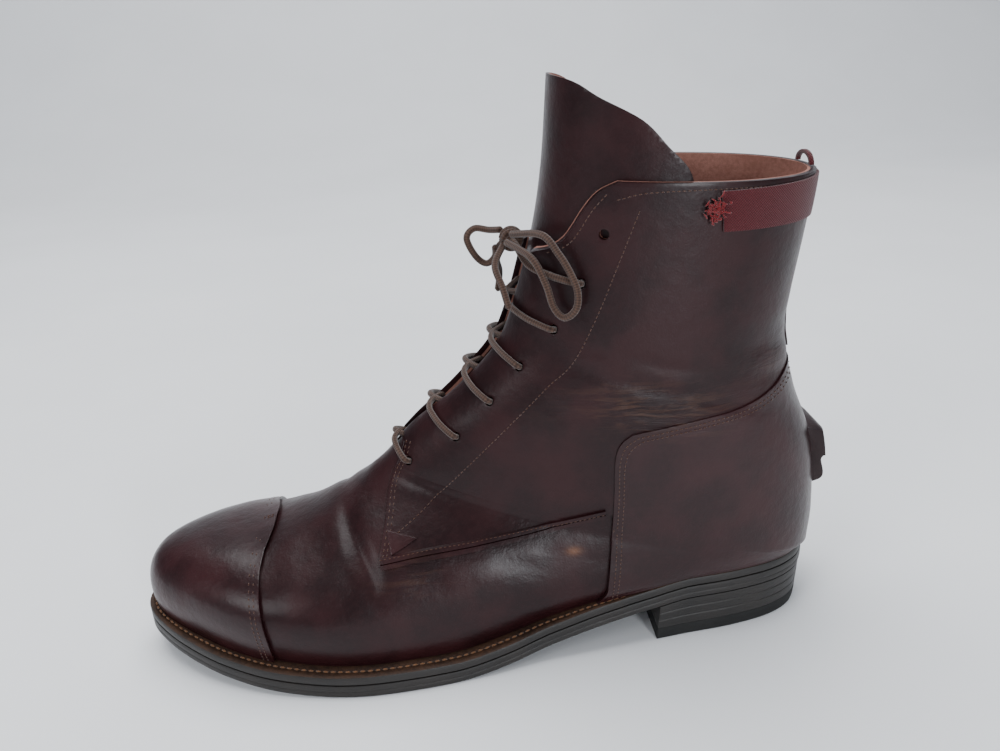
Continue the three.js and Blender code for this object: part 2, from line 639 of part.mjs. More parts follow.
// The tongue, from its top edge round its rear edge to its foot under the vamp
const TONGUE_OUTLINE = [
  { along: 0.446, up: 1.177 },
  { along: 0.389, up: 1.172 },
  { along: 0.356, up: 1.16 },
  { along: 0.329, up: 1.134 },
  { along: 0.281, up: 1.094 },
  { along: 0.251, up: 1.047 },
  { along: 0.228, up: 1.01 },
  { along: 0.221, up: 0.975 },
  { along: 0.228, up: 0.916 },
  { along: 0.264, up: 0.808 },
  { along: 0.32, up: 0.68 },
  { along: 0.403, up: 0.552 },
  { along: 0.495, up: 0.458 },
  { along: 0.594, up: 0.389 },
  { along: 0.637, up: 0.355 },
  { along: 0.673, up: 0.355 },
  { along: 0.673, up: 0.468 },
  { along: 0.528, up: 0.69 },
];
// The toe cap, forwards from its seam
const TOE_CAP_OUTLINE = [
  { along: 0.795, up: 0.369 },
  { along: 0.797, up: 0.276 },
  { along: 0.805, up: 0.261 },
  { along: 0.808, up: 0.244 },
  { along: 0.807, up: 0.214 },
  { along: 0.804, up: 0.169 },
  { along: 0.8, up: 0.124 },
  { along: 0.798, up: 0.071 },
  { along: 0.797, up: 0.0 },
  { along: 1.089, up: 0.0 },
  { along: 1.089, up: 0.369 },
];
// The woven band round the back of the collar
const BAND_OUTLINE = [
  { along: 0.191, up: 0.97 },
  { along: 0.186, up: 0.897 },
  { along: -0.05, up: 0.884 },
  { along: -0.05, up: 0.965 },
];
// The lower edge of the raised strip along the quarter
const STRIP_EDGE = [
  { along: 0.33, up: 0.322 },
  { along: 0.419, up: 0.293 },
  { along: 0.503, up: 0.279 },
  { along: 0.578, up: 0.27 },
  { along: 0.639, up: 0.257 },
];
// The back stay, between the counter and the band
const STAY_OUTLINE = [
  { along: 0.099, up: 0.621 },
  { along: 0.099, up: 0.875 },
  { along: -0.05, up: 0.875 },
  { along: -0.05, up: 0.635 },
];
// The ledge for a spur and the tail under it
const SPUR_OUTLINE = [
  { along: 0.066, up: 0.415 },
  { along: 0.0, up: 0.415 },
  { along: -0.017, up: 0.391 },
  { along: -0.02, up: 0.372 },
  { along: -0.015, up: 0.355 },
  { along: -0.005, up: 0.347 },
  { along: -0.005, up: 0.296 },
  { along: 0.066, up: 0.296 },
];
const sideView = (rows) => rows.map(({ along, up }) => [along * LENGTH, up * COLLAR_HEIGHT]);

// An outline moved outwards all round by a distance
function spread(outline, distance) {
  const area = outline.reduce((sum, [x, z], i) => {
    const [nextX, nextZ] = outline[(i + 1) % outline.length];
    return sum + x * nextZ - nextX * z;
  }, 0);
  return outline.map(([x, z], i) => {
    const before = outline[(i + outline.length - 1) % outline.length];
    const after = outline[(i + 1) % outline.length];
    const way = new THREE.Vector2(after[0] - before[0], after[1] - before[1]).normalize();
    const push = distance * Math.sign(area);
    return [x + way.y * push, z - way.x * push];
  });
}

// Leather laid on the skin between two offsets, cut to a side view
function layer(from, thickness, cutter, rows = RINGS) {
  const outer = grownForm(from + thickness, rows);
  const inner = grownForm(from, rows, 2 * WALL);
  return outer.subtract(inner).intersect(cutter);
}

// Upper: vamp and lining as one wall, with the quarters as a step on it
const counterSlab = sideSlab(sideView(COUNTER_OUTLINE));
const counterRoom = sideSlab(spread(sideView(COUNTER_OUTLINE), GAP));
const quarterSlab = sideSlab(sideView(QUARTER_OUTLINE)).subtract(counterRoom);

// The throat: half the gap between the facings at each height, as shares of the collar's
const THROAT_ROWS = [
  { up: 0.445, half: 1.6 },
  { up: 0.5, half: 2.6 },
  { up: 0.545, half: 4.6 },
  { up: 0.6, half: 6.4 },
  { up: 0.715, half: 8.4 },
  { up: 0.815, half: 9.5 },
  { up: 0.9, half: 11 },
];
function throatCutter() {
  const edge = THROAT_ROWS.map(({ up, half }) => [half, up * COLLAR_HEIGHT]);
  const outline = [...edge, ...edge.map(([half, z]) => [-half, z]).reverse()];
  const shape = new THREE.Shape(outline.map(([y, z]) => new THREE.Vector2(y, z)));
  const depth = 0.3 * LENGTH;
  const geometry = new THREE.ExtrudeGeometry(shape, { depth, bevelEnabled: false });
  geometry.rotateX(Math.PI / 2);
  geometry.rotateZ(Math.PI / 2);
  geometry.translate(0.35 * LENGTH, 0, 0);
  return solidOf(geometry);
}

// Lace holes, from the foot of the throat to the collar
const HOLE_ROWS = [
  { along: 0.5894, up: 0.4256 },
  { along: 0.5238, up: 0.4906 },
  { along: 0.4736, up: 0.568 },
  { along: 0.432, up: 0.6384 },
  { along: 0.3888, up: 0.7177 },
  { along: 0.3528, up: 0.8089 },
  { along: 0.3274, up: 0.904 },
];
const HOLE_SIDES = 6;
const holes = {};
for (const side of [LATERAL, MEDIAL]) {
  holes[side] = HOLE_ROWS.map(
    ({ along, up }) => placeOnSkin(along * LENGTH, up * COLLAR_HEIGHT, side),
  );
}
function holeCutter(hole, side) {
  const { point, normal } = skinPoint(hole.row, hole.share, side);
  const pin = new THREE.CylinderGeometry(HOLE_DIAMETER / 2, HOLE_DIAMETER / 2, 6 * WALL, HOLE_SIDES);
  pin.applyQuaternion(new THREE.Quaternion().setFromUnitVectors(new THREE.Vector3(0, 1, 0), normal));
  pin.translate(point.x, point.y, point.z);
  return solidOf(pin);
}

function upperSolid() {
  let wall = grownForm(0)
    .add(grownForm(QUARTER_STEP).intersect(quarterSlab))
    .subtract(grownForm(-WALL, LINING_RINGS, 2 * WALL))
    .intersect(standing)
    .subtract(sideSlab(sideView(COLLAR_CORNER)))
    .subtract(throatCutter());
  for (const side of [LATERAL, MEDIAL]) {
    for (const hole of holes[side]) wall = wall.subtract(holeCutter(hole, side));
  }
  return wall;
}
const upper = upperSolid();
addPiece('upper', geometryOf(upper), OXBLOOD);

addPiece('tongue', geometryOf(layer(
  -(WALL + GAP + TONGUE_THICKNESS), TONGUE_THICKNESS, sideSlab(sideView(TONGUE_OUTLINE)), TALL_RINGS,
)), OXBLOOD);

// Overlays
addPiece('toe_cap', geometryOf(
  layer(GAP, OVERLAY, sideSlab(sideView(TOE_CAP_OUTLINE)).intersect(standing)),
), CAP_LEATHER);
addPiece('heel_counter', geometryOf(
  layer(2 * GAP, OVERLAY, counterSlab.intersect(standing)).subtract(upper),
), CAP_LEATHER);
const stripEdge = sideView(STRIP_EDGE);
const stripOutline = [...stripEdge, ...stripEdge.map(([x, z]) => [x, z + STRIP_HEIGHT]).reverse()];
for (const [name, from, to] of [
  ['quarter_strip_lateral', 0, BREADTH / 2], ['quarter_strip_medial', -BREADTH / 2, 0],
]) {
  addPiece(name, geometryOf(
    layer(QUARTER_STEP + GAP, STRIP_THICKNESS, sideSlab(stripOutline, from, to)),
  ), OXBLOOD);
}
const BACK_LINE = swing(0.035 * LENGTH);
const backSlab = (rows, width) => sideSlab(
  sideView(rows), BACK_LINE - width / 2, BACK_LINE + width / 2,
);
addPiece('back_stay', geometryOf(
  layer(QUARTER_STEP + GAP, STAY_THICKNESS, backSlab(STAY_OUTLINE, STAY_WIDTH)),
), OXBLOOD);
addPiece('pull_band', geometryOf(
  layer(QUARTER_STEP + GAP, BAND_THICKNESS, sideSlab(sideView(BAND_OUTLINE))),
), WOVEN_RED);
addPiece('spur_rest', geometryOf(
  layer(OVERLAY + 3 * GAP, SPUR_REACH, backSlab(SPUR_OUTLINE, SPUR_WIDTH)),
), OXBLOOD);

function pullLoop() {
  const strap = 1.6;
  const shape = new THREE.Shape();
  shape.absellipse(0, 0, LOOP_WIDTH / 2, LOOP_RISE, 0, Math.PI);
  shape.lineTo(strap - LOOP_WIDTH / 2, 0);
  shape.absellipse(0, 0, LOOP_WIDTH / 2 - strap, LOOP_RISE - strap, Math.PI, 0, true);
  shape.closePath();
  const options = { depth: WALL - GAP, bevelEnabled: false, curveSegments: 10 };
  const geometry = new THREE.ExtrudeGeometry(shape, options);
  geometry.rotateX(Math.PI / 2);
  geometry.rotateZ(Math.PI / 2);
  geometry.translate(backX(COLLAR_ROW) + GAP, BACK_LINE, COLLAR_BACK_HEIGHT + 2 * GAP);
  return geometryOf(solidOf(geometry));
}
addPiece('pull_loop', pullLoop(), WOVEN_RED);

// Laces
const LACE_SIDES = 8;
function cord(points, steps) {
  const ring = new THREE.Shape([...Array(LACE_SIDES).keys()].map((k) => {
    const angle = (2 * Math.PI * k) / LACE_SIDES;
    const radius = LACE_DIAMETER / 2;
    return new THREE.Vector2(radius * Math.cos(angle), radius * Math.sin(angle));
  }));
  const extrudePath = new THREE.CatmullRomCurve3(points, false, 'centripetal');
  return solidOf(new THREE.ExtrudeGeometry(ring, { steps, bevelEnabled: false, extrudePath }));
}

// Each crossing: a strand from a hole, over its own edge to the far one, and its twin
const LACE_RAISE = QUARTER_STEP + 3 * GAP + LACE_DIAMETER / 2;
const STRAND_ROWS = [
  { on: 0.02, out: 0.97, far: false },
  { on: 0.2, out: 0.55, far: false },
  { on: 0.42, out: 0.1, far: false },
  { on: 0.62, out: 0.12, far: true },
];
function crossing(index) {
  const strand = (side) => {
    const [hole, next] = [holes[side][index], holes[side][index + 1]];
    return cord(STRAND_ROWS.map(({ on, out, far }) => skinPoint(
      mix(hole.row, next.row, on), hole.share * out, far ? -side : side, LACE_RAISE,
    ).point), 3);
  };
  return strand(LATERAL).add(strand(MEDIAL));
}
const CROSSINGS = 5;
for (let index = 0; index < CROSSINGS; index++) {
  addPiece(`lace_crossing_${index + 1}`, geometryOf(crossing(index)), LACE_BROWN);
}

// The bow: its points are chosen by hand, in millimetres from the sole's back
const KNOT = new THREE.Vector3(131, 0.5, 176);
const KNOT_RADII = new THREE.Vector3(5, 5.5, 4.5);
const knot = new THREE.SphereGeometry(1, 9, 7);
knot.scale(...KNOT_RADII.toArray());
knot.translate(...KNOT.toArray());
addPiece('lace_knot', geometryOf(solidOf(knot)), LACE_BROWN);

// The two leads come out of the last holes in use and over the facings' edges to the knot
const LEAD_ROWS = [
  { on: 0.02, out: 0.97 },
  { on: 0.1, out: 0.7 },
  { on: 0.2, out: 0.42 },
];
for (const [name, side] of [['lace_lead_lateral', LATERAL], ['lace_lead_medial', MEDIAL]]) {
  const [hole, next] = [holes[side][CROSSINGS], holes[side][CROSSINGS + 1]];
  const points = LEAD_ROWS.map(({ on, out }) => skinPoint(
    mix(hole.row, next.row, on), hole.share * out, side, LACE_RAISE,
  ).point);
  const end = KNOT.clone();
  end.add(new THREE.Vector3(-1, side * (KNOT_RADII.y + 2 * GAP), -1));
  addPiece(name, geometryOf(cord([...points, end], 5)), LACE_BROWN);
}

const BOW_ROUTES = [
  ['lace_loop_lateral', 16, [
    [132, 7.8, 179.5], [121.4, 22.5, 182], [115.9, 29.5, 176], [112.2, 33, 169.4], [110, 35.3, 162.9],
    [110.8, 36, 156.5], [114.8, 33.5, 152.6], [118.5, 31, 156.1], [121, 28, 164.7], [125.5, 22.5, 173.4],
    [134, 7.2, 176.6],
  ]],
  ['lace_loop_medial', 11, [
    [134, -5, 178.5], [139, -10, 177.5], [145, -12, 178], [148.4, -10, 174.6],
    [144.6, -9, 167.4], [140, -8.5, 164], [137.4, -3.5, 172],
  ]],
  ['lace_end_lateral', 5, [[134.9, 3.9, 173.7], [138.6, 10.5, 168], [136.5, 17, 161], [134.5, 20.5, 153]]],
  ['lace_end_medial', 5, [[135.5, -6.2, 171.5], [136.5, -12, 165], [135, -19.5, 157], [136.1, -20.5, 148]]],
];
for (const [name, steps, route] of BOW_ROUTES) {
  const points = route.map((place) => new THREE.Vector3(...place));
  addPiece(name, geometryOf(cord(points, steps)), LACE_BROWN);
}

export default boot;
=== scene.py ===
"""Visual model of a left riding ankle boot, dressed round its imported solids.

Lengths inside the boot's own functions are millimetres from the sole's back, as a maker
reads them off the last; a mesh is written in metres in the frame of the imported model.
"""

import logging
import math
from dataclasses import dataclass
from enum import Enum
from typing import Callable, NamedTuple, Optional, Sequence, Union

import bmesh
import bpy
import numpy as np
from mathutils import Matrix, Vector, kdtree


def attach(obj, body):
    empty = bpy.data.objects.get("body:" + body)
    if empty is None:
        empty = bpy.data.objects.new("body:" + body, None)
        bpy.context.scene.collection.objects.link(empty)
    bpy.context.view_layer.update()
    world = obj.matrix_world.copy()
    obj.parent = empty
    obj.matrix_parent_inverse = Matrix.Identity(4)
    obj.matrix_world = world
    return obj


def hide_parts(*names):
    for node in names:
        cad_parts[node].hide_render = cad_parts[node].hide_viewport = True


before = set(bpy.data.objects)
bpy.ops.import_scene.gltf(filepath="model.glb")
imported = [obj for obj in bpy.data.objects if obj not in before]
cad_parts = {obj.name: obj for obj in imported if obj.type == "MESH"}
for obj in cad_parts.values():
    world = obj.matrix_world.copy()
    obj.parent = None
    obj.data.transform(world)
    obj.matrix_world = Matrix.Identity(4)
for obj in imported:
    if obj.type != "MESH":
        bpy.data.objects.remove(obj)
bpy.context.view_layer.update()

LOG = logging.getLogger("riding_boot")
Array = np.ndarray
Points = Sequence[tuple[float, ...]]
MM = 0.001
BODY = "root"


class Side(Enum):
    """The two sides of a left boot."""

    LATERAL = 1
    MEDIAL = -1


BOTH = (Side.LATERAL, Side.MEDIAL)


# The boot's own form


@dataclass(frozen=True)
class BootSizes:
    """Driving sizes in millimetres, the same as the solids'."""

    length: float = 303.0
    ball_width: float = 103.0
    waist_width: float = 72.0
    heel_width: float = 69.0
    heel_swing: float = 5.0
    heel_height: float = 20.0
    heel_length: float = 77.0
    heel_taper: float = 1.0
    top_piece: float = 6.0
    toe_spring: float = 11.6
    outsole: float = 6.2
    welt: float = 4.0
    welt_reach: float = 12.0
    insole: float = 3.2
    collar: float = 203.0
    collar_back: float = 197.5
    instep: float = 89.0
    shaft_width: float = 72.0
    wall: float = 2.2
    quarter_step: float = 1.2
    overlay: float = 1.3
    tongue: float = 1.8
    hole: float = 4.0
    lace: float = 2.8
    gap: float = 0.3

    @property
    def heel_centre(self) -> float:
        """The origin's distance from the sole's back."""
        return 0.132 * self.length


SIZES = BootSizes()


class SectionRow(NamedTuple):
    """One slanted slice of the upper, as shares of the driving sizes."""

    front: float
    up: float
    rear: float
    back: float
    girth: float
    lateral: float
    medial: float
    mid: float
    crown: float
    flank: float


ANKLE, BALL = SIZES.shaft_width, SIZES.ball_width
SECTIONS = (
    SectionRow(0.3876, 1.32, 0.034, 1.22, ANKLE, 0.49, 0.48, 0.52, 2.2, 2.1),
    SectionRow(0.3987, 1.0, 0.034, 1.0, ANKLE, 0.5, 0.486, 0.52, 2.2, 2.1),
    SectionRow(0.4168, 0.748, 0.0445, 0.842, ANKLE, 0.5, 0.49, 0.53, 2.15, 2.1),
    SectionRow(0.447, 0.477, 0.0565, 0.691, ANKLE, 0.507, 0.5, 0.55, 2.1, 2.1),
    SectionRow(0.4712, 0.362, 0.059, 0.612, ANKLE, 0.51, 0.507, 0.57, 2.05, 2.1),
    SectionRow(0.5245, 0.216, 0.0435, 0.452, ANKLE, 0.515, 0.515, 0.6, 2.0, 2.2),
    SectionRow(0.5789, 0.095, 0.011, 0.288, ANKLE, 0.51, 0.51, 0.64, 1.95, 2.4),
    SectionRow(0.6111, 0.005, 0.0035, 0.109, ANKLE, 0.51, 0.5, 0.66, 1.95, 2.7),
    SectionRow(0.6252, -0.063, 0.0065, 0.0, ANKLE, 0.51, 0.49, 0.67, 1.95, 2.8),
    SectionRow(0.6423, -0.133, 0.0565, 0.0, ANKLE, 0.51, 0.48, 0.68, 1.95, 2.8),
    SectionRow(0.6655, -0.224, 0.1954, 0.0, BALL, 0.37, 0.33, 0.62, 2.1, 2.6),
    SectionRow(0.7017, -0.325, 0.3665, 0.0, BALL, 0.425, 0.345, 0.62, 2.2, 2.4),
    SectionRow(0.751, -0.44, 0.5376, 0.0, BALL, 0.475, 0.38, 0.66, 2.2, 2.2),
    SectionRow(0.8094, -0.53, 0.6886, 0.0, BALL, 0.482, 0.44, 0.7, 2.2, 2.2),
    SectionRow(0.8688, -0.558, 0.8134, 0.0, BALL, 0.4, 0.42, 0.76, 2.3, 2.2),
    SectionRow(0.9252, -0.592, 0.902, 0.0, BALL, 0.26, 0.3, 0.76, 2.3, 2.2),
    SectionRow(0.968, -0.66, 0.9554, 0.0, BALL, 0.1, 0.12, 0.76, 2.2, 2.2),
    SectionRow(0.986, -0.8, 0.98, 0.0, BALL, 0.03, 0.03, 0.76, 2.1, 2.2),
)
COLLAR_ROW = 1.0
SEAT_ROW = 8
TIP_ROW = len(SECTIONS)
FOOT_DROP = 7.0

UNDERSIDE = (
    (0, 1, 0), (0.2, 1, 0), (0.275, 0.86, 0), (0.343, 0.67, 0), (0.408, 0.42, 0),
    (0.474, 0.16, 0), (0.55, 0, 0), (0.69, 0, 0), (0.8, 0, 0.16), (0.866, 0, 0.37),
    (0.931, 0, 0.66), (1, 0, 1),
)
PLAN = (
    (0.03, SIZES.heel_width, 0.33, 0.315), (0.07, SIZES.heel_width, 0.44, 0.427),
    (0.13, SIZES.heel_width, 0.5, 0.485), (0.22, SIZES.heel_width, 0.535, 0.472),
    (0.3, SIZES.waist_width, 0.55, 0.4), (0.4, SIZES.waist_width, 0.6, 0.37),
    (0.5, BALL, 0.48, 0.3), (0.6, BALL, 0.525, 0.387), (0.68, BALL, 0.535, 0.454),
    (0.74, BALL, 0.515, 0.49), (0.8, BALL, 0.475, 0.482), (0.87, BALL, 0.392, 0.43),
    (0.93, BALL, 0.283, 0.324), (0.97, BALL, 0.18, 0.207),
)


def smoothstep(value: Union[float, Array], low: float, high: float) -> Array:
    """A soft step from 0 at low to 1 at high."""
    share = np.clip((np.asarray(value, float) - low) / (high - low), 0.0, 1.0)
    return share * share * (3.0 - 2.0 * share)


class SteadyCurve:
    """A smooth curve through rows of (at, value) that never swings past a row."""

    def __init__(self, rows: Points) -> None:
        """Takes the rows in rising order of at.

        Args:
            rows: Place and value of each point.
        """
        self.at, self.value = np.array(rows, float).T
        slope = np.diff(self.value) / np.diff(self.at)
        before, after = slope[:-1], slope[1:]
        total = np.where(before + after == 0, 1.0, before + after)
        inner = np.where(before * after <= 0, 0.0, 2 * before * after / total)
        self.tangent = np.concatenate(([slope[0]], inner, [slope[-1]]))

    def __call__(self, x: Union[float, Array]) -> Array:
        """The curve's value at x.

        Args:
            x: Places along the boot, in millimetres.

        Returns:
            The value or values.
        """
        place = np.clip(np.asarray(x, float), self.at[0], self.at[-1])
        low = np.clip(np.searchsorted(self.at, place, side="right") - 1, 0, len(self.at) - 2)
        step = self.at[low + 1] - self.at[low]
        t = (place - self.at[low]) / step
        value, tangent = self.value, self.tangent
        return (
            value[low] * (1 + 2 * t) * (1 - t) ** 2
            + tangent[low] * step * t * (1 - t) ** 2
            + value[low + 1] * t * t * (3 - 2 * t)
            + tangent[low + 1] * step * t * t * (t - 1)
        )


class RoundCurve:
    """A rounder curve through evenly numbered values, carried straight on past its ends."""

    def __init__(self, values: Sequence[float]) -> None:
        """Takes the values of rows 0, 1, 2 and so on."""
        row = np.array(values, float)
        self.value = np.concatenate(([2 * row[0] - row[1]], row, [2 * row[-1] - row[-2]]))

    def __call__(self, u: Union[float, Array]) -> Array:
        """The curve's value at row u.

        Args:
            u: The row.

        Returns:
            The value or values.
        """
        u = np.asarray(u, float)
        i = np.clip(np.floor(u).astype(int), 0, len(self.value) - 4)
        t = u - i
        a, b, c, d = (self.value[i + k] for k in range(4))
        return b + 0.5 * t * (
            c - a + t * (2 * a - 5 * b + 4 * c - d + t * (3 * (b - c) + d - a))
        )


def swing(x: Union[float, Array]) -> Array:
    """How far the heel and the leg stand off the line to the toe's tip."""
    return -SIZES.heel_swing * (1 - smoothstep(x, -0.1 * SIZES.length, 0.32 * SIZES.length))


class SoleForm:
    """Outline, underside and feather line of the sole."""

    FEATHER_STEPS = 60

    def __init__(self) -> None:
        """Works the curves out from the tables."""
        length = SIZES.length
        self.underside = SteadyCurve([
            (at * length, heel * SIZES.heel_height + toe * SIZES.toe_spring)
            for at, heel, toe in UNDERSIDE
        ])
        self.plan = {
            side: SteadyCurve([
                (row[0], row[1] * row[2 + index] / math.sqrt(row[0] * (1 - row[0])))
                for row in PLAN
            ])
            for index, side in enumerate(BOTH)
        }
        turns = np.linspace(0, 1, self.FEATHER_STEPS + 1)
        self.feather = {}
        for side in BOTH:
            edge = self.edge(turns, side, 0.0)
            line = self.edge(turns, side, self.feather_inset(edge[:, 0]))
            self.feather[side] = (line[:, 0], np.abs(line[:, 1] - swing(line[:, 0])))
        self.feather_back = float(self.feather[Side.LATERAL][0][0])
        self.feather_tip = float(self.feather[Side.LATERAL][0][-1])

    def outsole_top(self, x: Array) -> Array:
        """Height of the outsole's top."""
        return self.underside(x) + SIZES.outsole

    def welt_top(self, x: Array) -> Array:
        """Height of the welt's top."""
        return self.outsole_top(x) + SIZES.gap + SIZES.welt

    def feather_height(self, x: Array) -> Array:
        """Height of the line where the upper meets the welt."""
        return self.welt_top(x) + SIZES.gap + 1.0

    def feather_inset(self, x: Array) -> Array:
        """How far the feather line lies inside the sole's edge."""
        length = SIZES.length
        rear = 2.0 + 5.0 * smoothstep(x, 0.22 * length, 0.48 * length)
        return rear + (5.0 - rear) * smoothstep(x, 0.9 * length, length)

    def turn_at(self, x: float) -> float:
        """The outline's parameter at a distance from the sole's back."""
        return math.acos(max(-1.0, min(1.0, 1 - 2 * x / SIZES.length))) / math.pi

    def edge(self, turn: Array, side: Side, inset: Union[float, Array]) -> Array:
        """Points of the outline, moved in square to the edge.

        Args:
            turn: 0 at the heel's back to 1 at the toe's tip.
            side: the side of the boot.
            inset: millimetres inside the edge, one or one per turn.

        Returns:
            An array of x and y.
        """
        turn = np.atleast_1d(np.asarray(turn, float))

        def at(t: Array) -> Array:
            """Points of the plan at shares of its turn."""
            along = (1 - np.cos(np.pi * t)) / 2
            half = self.plan[side](along) * np.sqrt(np.maximum(0, along * (1 - along)))
            mirrored = np.where((t < 0) | (t > 1), -1.0, 1.0)
            return np.stack([along * SIZES.length, side.value * half * mirrored], axis=-1)

        nudge = 0.0005
        way = at(turn + nudge) - at(turn - nudge)
        way /= np.linalg.norm(way, axis=-1, keepdims=True)
        outward = np.stack([-way[:, 1], way[:, 0]], axis=-1) * side.value
        here = at(turn) - outward * np.broadcast_to(inset, turn.shape)[:, None]
        here[:, 1] += swing(here[:, 0])
        return here

    def feather_width(self, x: Array, side: Side) -> Array:
        """Half width of the feather line at x."""
        at, half = self.feather[side]
        return np.sqrt(np.interp(x, at, half * half, left=0.0, right=0.0))


SOLE = SoleForm()


class UpperForm:
    """The skin of the upper: slanted slices from the collar round the heel to the toe."""

    DENSE = 120

    def __init__(self) -> None:
        """Works the curves out from the section table."""
        length = SIZES.length
        tip = float(SOLE.feather_height(SOLE.feather_tip))
        seat = float(SOLE.feather_height(0.0))

        def front_height(up: float) -> float:
            """Height of the front line from the instep up to the tip."""
            low, high = (SIZES.instep, SIZES.collar) if up >= 0 else (SIZES.instep, tip)
            return low + (high - low) * abs(up)

        self.front_x = RoundCurve([row.front * length for row in SECTIONS] + [SOLE.feather_tip])
        self.front_z = RoundCurve([front_height(row.up) for row in SECTIONS] + [tip + SIZES.gap])
        leg = SECTIONS[:SEAT_ROW]
        self.back_x = RoundCurve([row.rear * length for row in leg] + [SOLE.feather_back])
        self.back_z = RoundCurve(
            [seat + (SIZES.collar_back - seat) * row.back for row in leg] + [seat]
        )
        foot = SECTIONS[SEAT_ROW + 1:]
        self.foot_x = SteadyCurve(
            [(SEAT_ROW, SOLE.feather_back)]
            + [(SEAT_ROW + 1 + i, row.rear * length) for i, row in enumerate(foot)]
            + [(TIP_ROW, SOLE.feather_tip)]
        )
        self.mid = RoundCurve([row.mid for row in SECTIONS] + [0.76])
        self.crown = RoundCurve([row.crown for row in SECTIONS] + [2.1])
        self.flank = RoundCurve([row.flank for row in SECTIONS] + [2.2])
        self.wide = {
            Side.LATERAL: RoundCurve([row.girth * row.lateral for row in SECTIONS] + [0.0]),
            Side.MEDIAL: RoundCurve([row.girth * row.medial for row in SECTIONS] + [0.0]),
        }

    def side_points(self, rows: Array, side: Side, shares: Array) -> Array:
        """Points down one side of the sections.

        Args:
            rows: section numbers.
            side: the side of the boot.
            shares: shares of the way from the front of a section to its rear.

        Returns:
            An array of rows by shares by x, y and z.
        """
        rows = np.asarray(rows, float)
        on_foot = rows > SEAT_ROW
        foot_x = self.foot_x(rows)
        rear_x = np.where(on_foot, foot_x, self.back_x(np.minimum(rows, SEAT_ROW)))
        rear_z = np.where(
            on_foot, SOLE.feather_height(foot_x), self.back_z(np.minimum(rows, SEAT_ROW))
        )
        front = np.stack([self.front_x(rows), 0 * rows, self.front_z(rows)], axis=-1)
        rear = np.stack([rear_x, 0 * rows, rear_z], axis=-1)
        foot = np.where(on_foot, SOLE.feather_width(rear_x, side), 0.0)
        wide = np.maximum(self.wide[side](rows), foot + np.minimum(0.8, foot))[:, None]
        mid, crown, flank = (curve(rows)[:, None] for curve in (self.mid, self.crown, self.flank))
        ratio = foot[:, None] / np.maximum(wide, SIZES.gap)
        reach = (1 - mid) / (1 - ratio ** flank) ** (1 / flank)
        crest = -0.03 * SIZES.ball_width * smoothstep(rows, SEAT_ROW - 1, SEAT_ROW + 4)
        crest = crest * (1 - smoothstep(rows, TIP_ROW - 3, TIP_ROW))
        share = ((1 - np.cos(np.pi * np.arange(self.DENSE + 1) / self.DENSE)) / 2)[None]
        upper = 1 - (np.maximum(mid - share, 0) / mid) ** crown
        lower = 1 - (np.maximum(share - mid, 0) / reach) ** flank
        half = np.where(
            share < mid,
            np.maximum(upper, 0) ** (1 / crown),
            np.maximum(lower, 0) ** (1 / flank),
        ) * wide
        dense = front[:, None] + (rear - front)[:, None] * share[..., None]
        dense[..., 1] = side.value * half + swing(dense[..., 0])
        dense[..., 1] += crest[:, None] * (1 - np.minimum(1, share / mid)) ** 2
        run = np.linalg.norm(np.diff(dense, axis=1), axis=-1).cumsum(axis=1)
        run = np.concatenate([np.zeros((len(rows), 1)), run], axis=1)
        out = np.empty((len(rows), len(shares), 3))
        for r in range(len(rows)):
            at = np.asarray(shares) * run[r, -1]
            for axis in range(3):
                out[r, :, axis] = np.interp(at, run[r], dense[r, :, axis])
        return out

    def rows_between(self, first: float, last: float, pitch: float) -> Array:
        """Section numbers whose slices lie about a pitch apart at their widest.

        Args:
            first: The first section.
            last: The last section.
            pitch: The distance between slices.

        Returns:
            The section numbers.
        """
        shares = np.linspace(0, 1, 9)
        stops = np.unique(np.concatenate([[first], np.arange(math.ceil(first), last), [last]]))
        rows = [np.array([first])]
        for low, high in zip(stops[:-1], stops[1:]):
            reach = 0.0
            for side in BOTH:
                ends = self.side_points(np.array([low, high]), side, shares)
                reach = max(reach, float(np.linalg.norm(ends[1] - ends[0], axis=-1).max()))
            count = max(1, math.ceil(reach / pitch))
            steps = np.linspace(0, 1, count + 1)[1:]
            if SEAT_ROW <= low < SEAT_ROW + 1:
                steps = steps ** 2
            elif high > TIP_ROW - 1:
                steps = 1 - (1 - steps) ** 2
            rows.append(low + (high - low) * steps)
        return np.concatenate(rows)


UPPER = UpperForm()


@dataclass(frozen=True)
class Crease:
    """A soft trough or ridge along a line of the side view, in millimetres."""

    line: Points
    depth: float
    width: float
    sides: Sequence[Side] = BOTH


def line_distance(x: Array, z: Array, line: Points) -> tuple[Array, Array]:
    """Distance to an open line of the side view, and the share of the way along it.

    Args:
        x: Places along the boot, in millimetres.
        z: Heights, in millimetres.
        line: The line's corners in the side view.

    Returns:
        The distances and the shares.
    """
    line = np.array(line, float)
    steps = np.linalg.norm(np.diff(line, axis=0), axis=1)
    run = np.concatenate([[0.0], steps.cumsum()])
    best = np.full(np.shape(x), np.inf)
    along = np.zeros(np.shape(x))
    for i in range(len(line) - 1):
        way = line[i + 1] - line[i]
        t = np.clip(((x - line[i, 0]) * way[0] + (z - line[i, 1]) * way[1]) / (way @ way), 0, 1)
        away = np.hypot(x - line[i, 0] - t * way[0], z - line[i, 1] - t * way[1])
        nearer = away < best
        best = np.where(nearer, away, best)
        along = np.where(nearer, (run[i] + t * steps[i]) / run[-1], along)
    return best, along


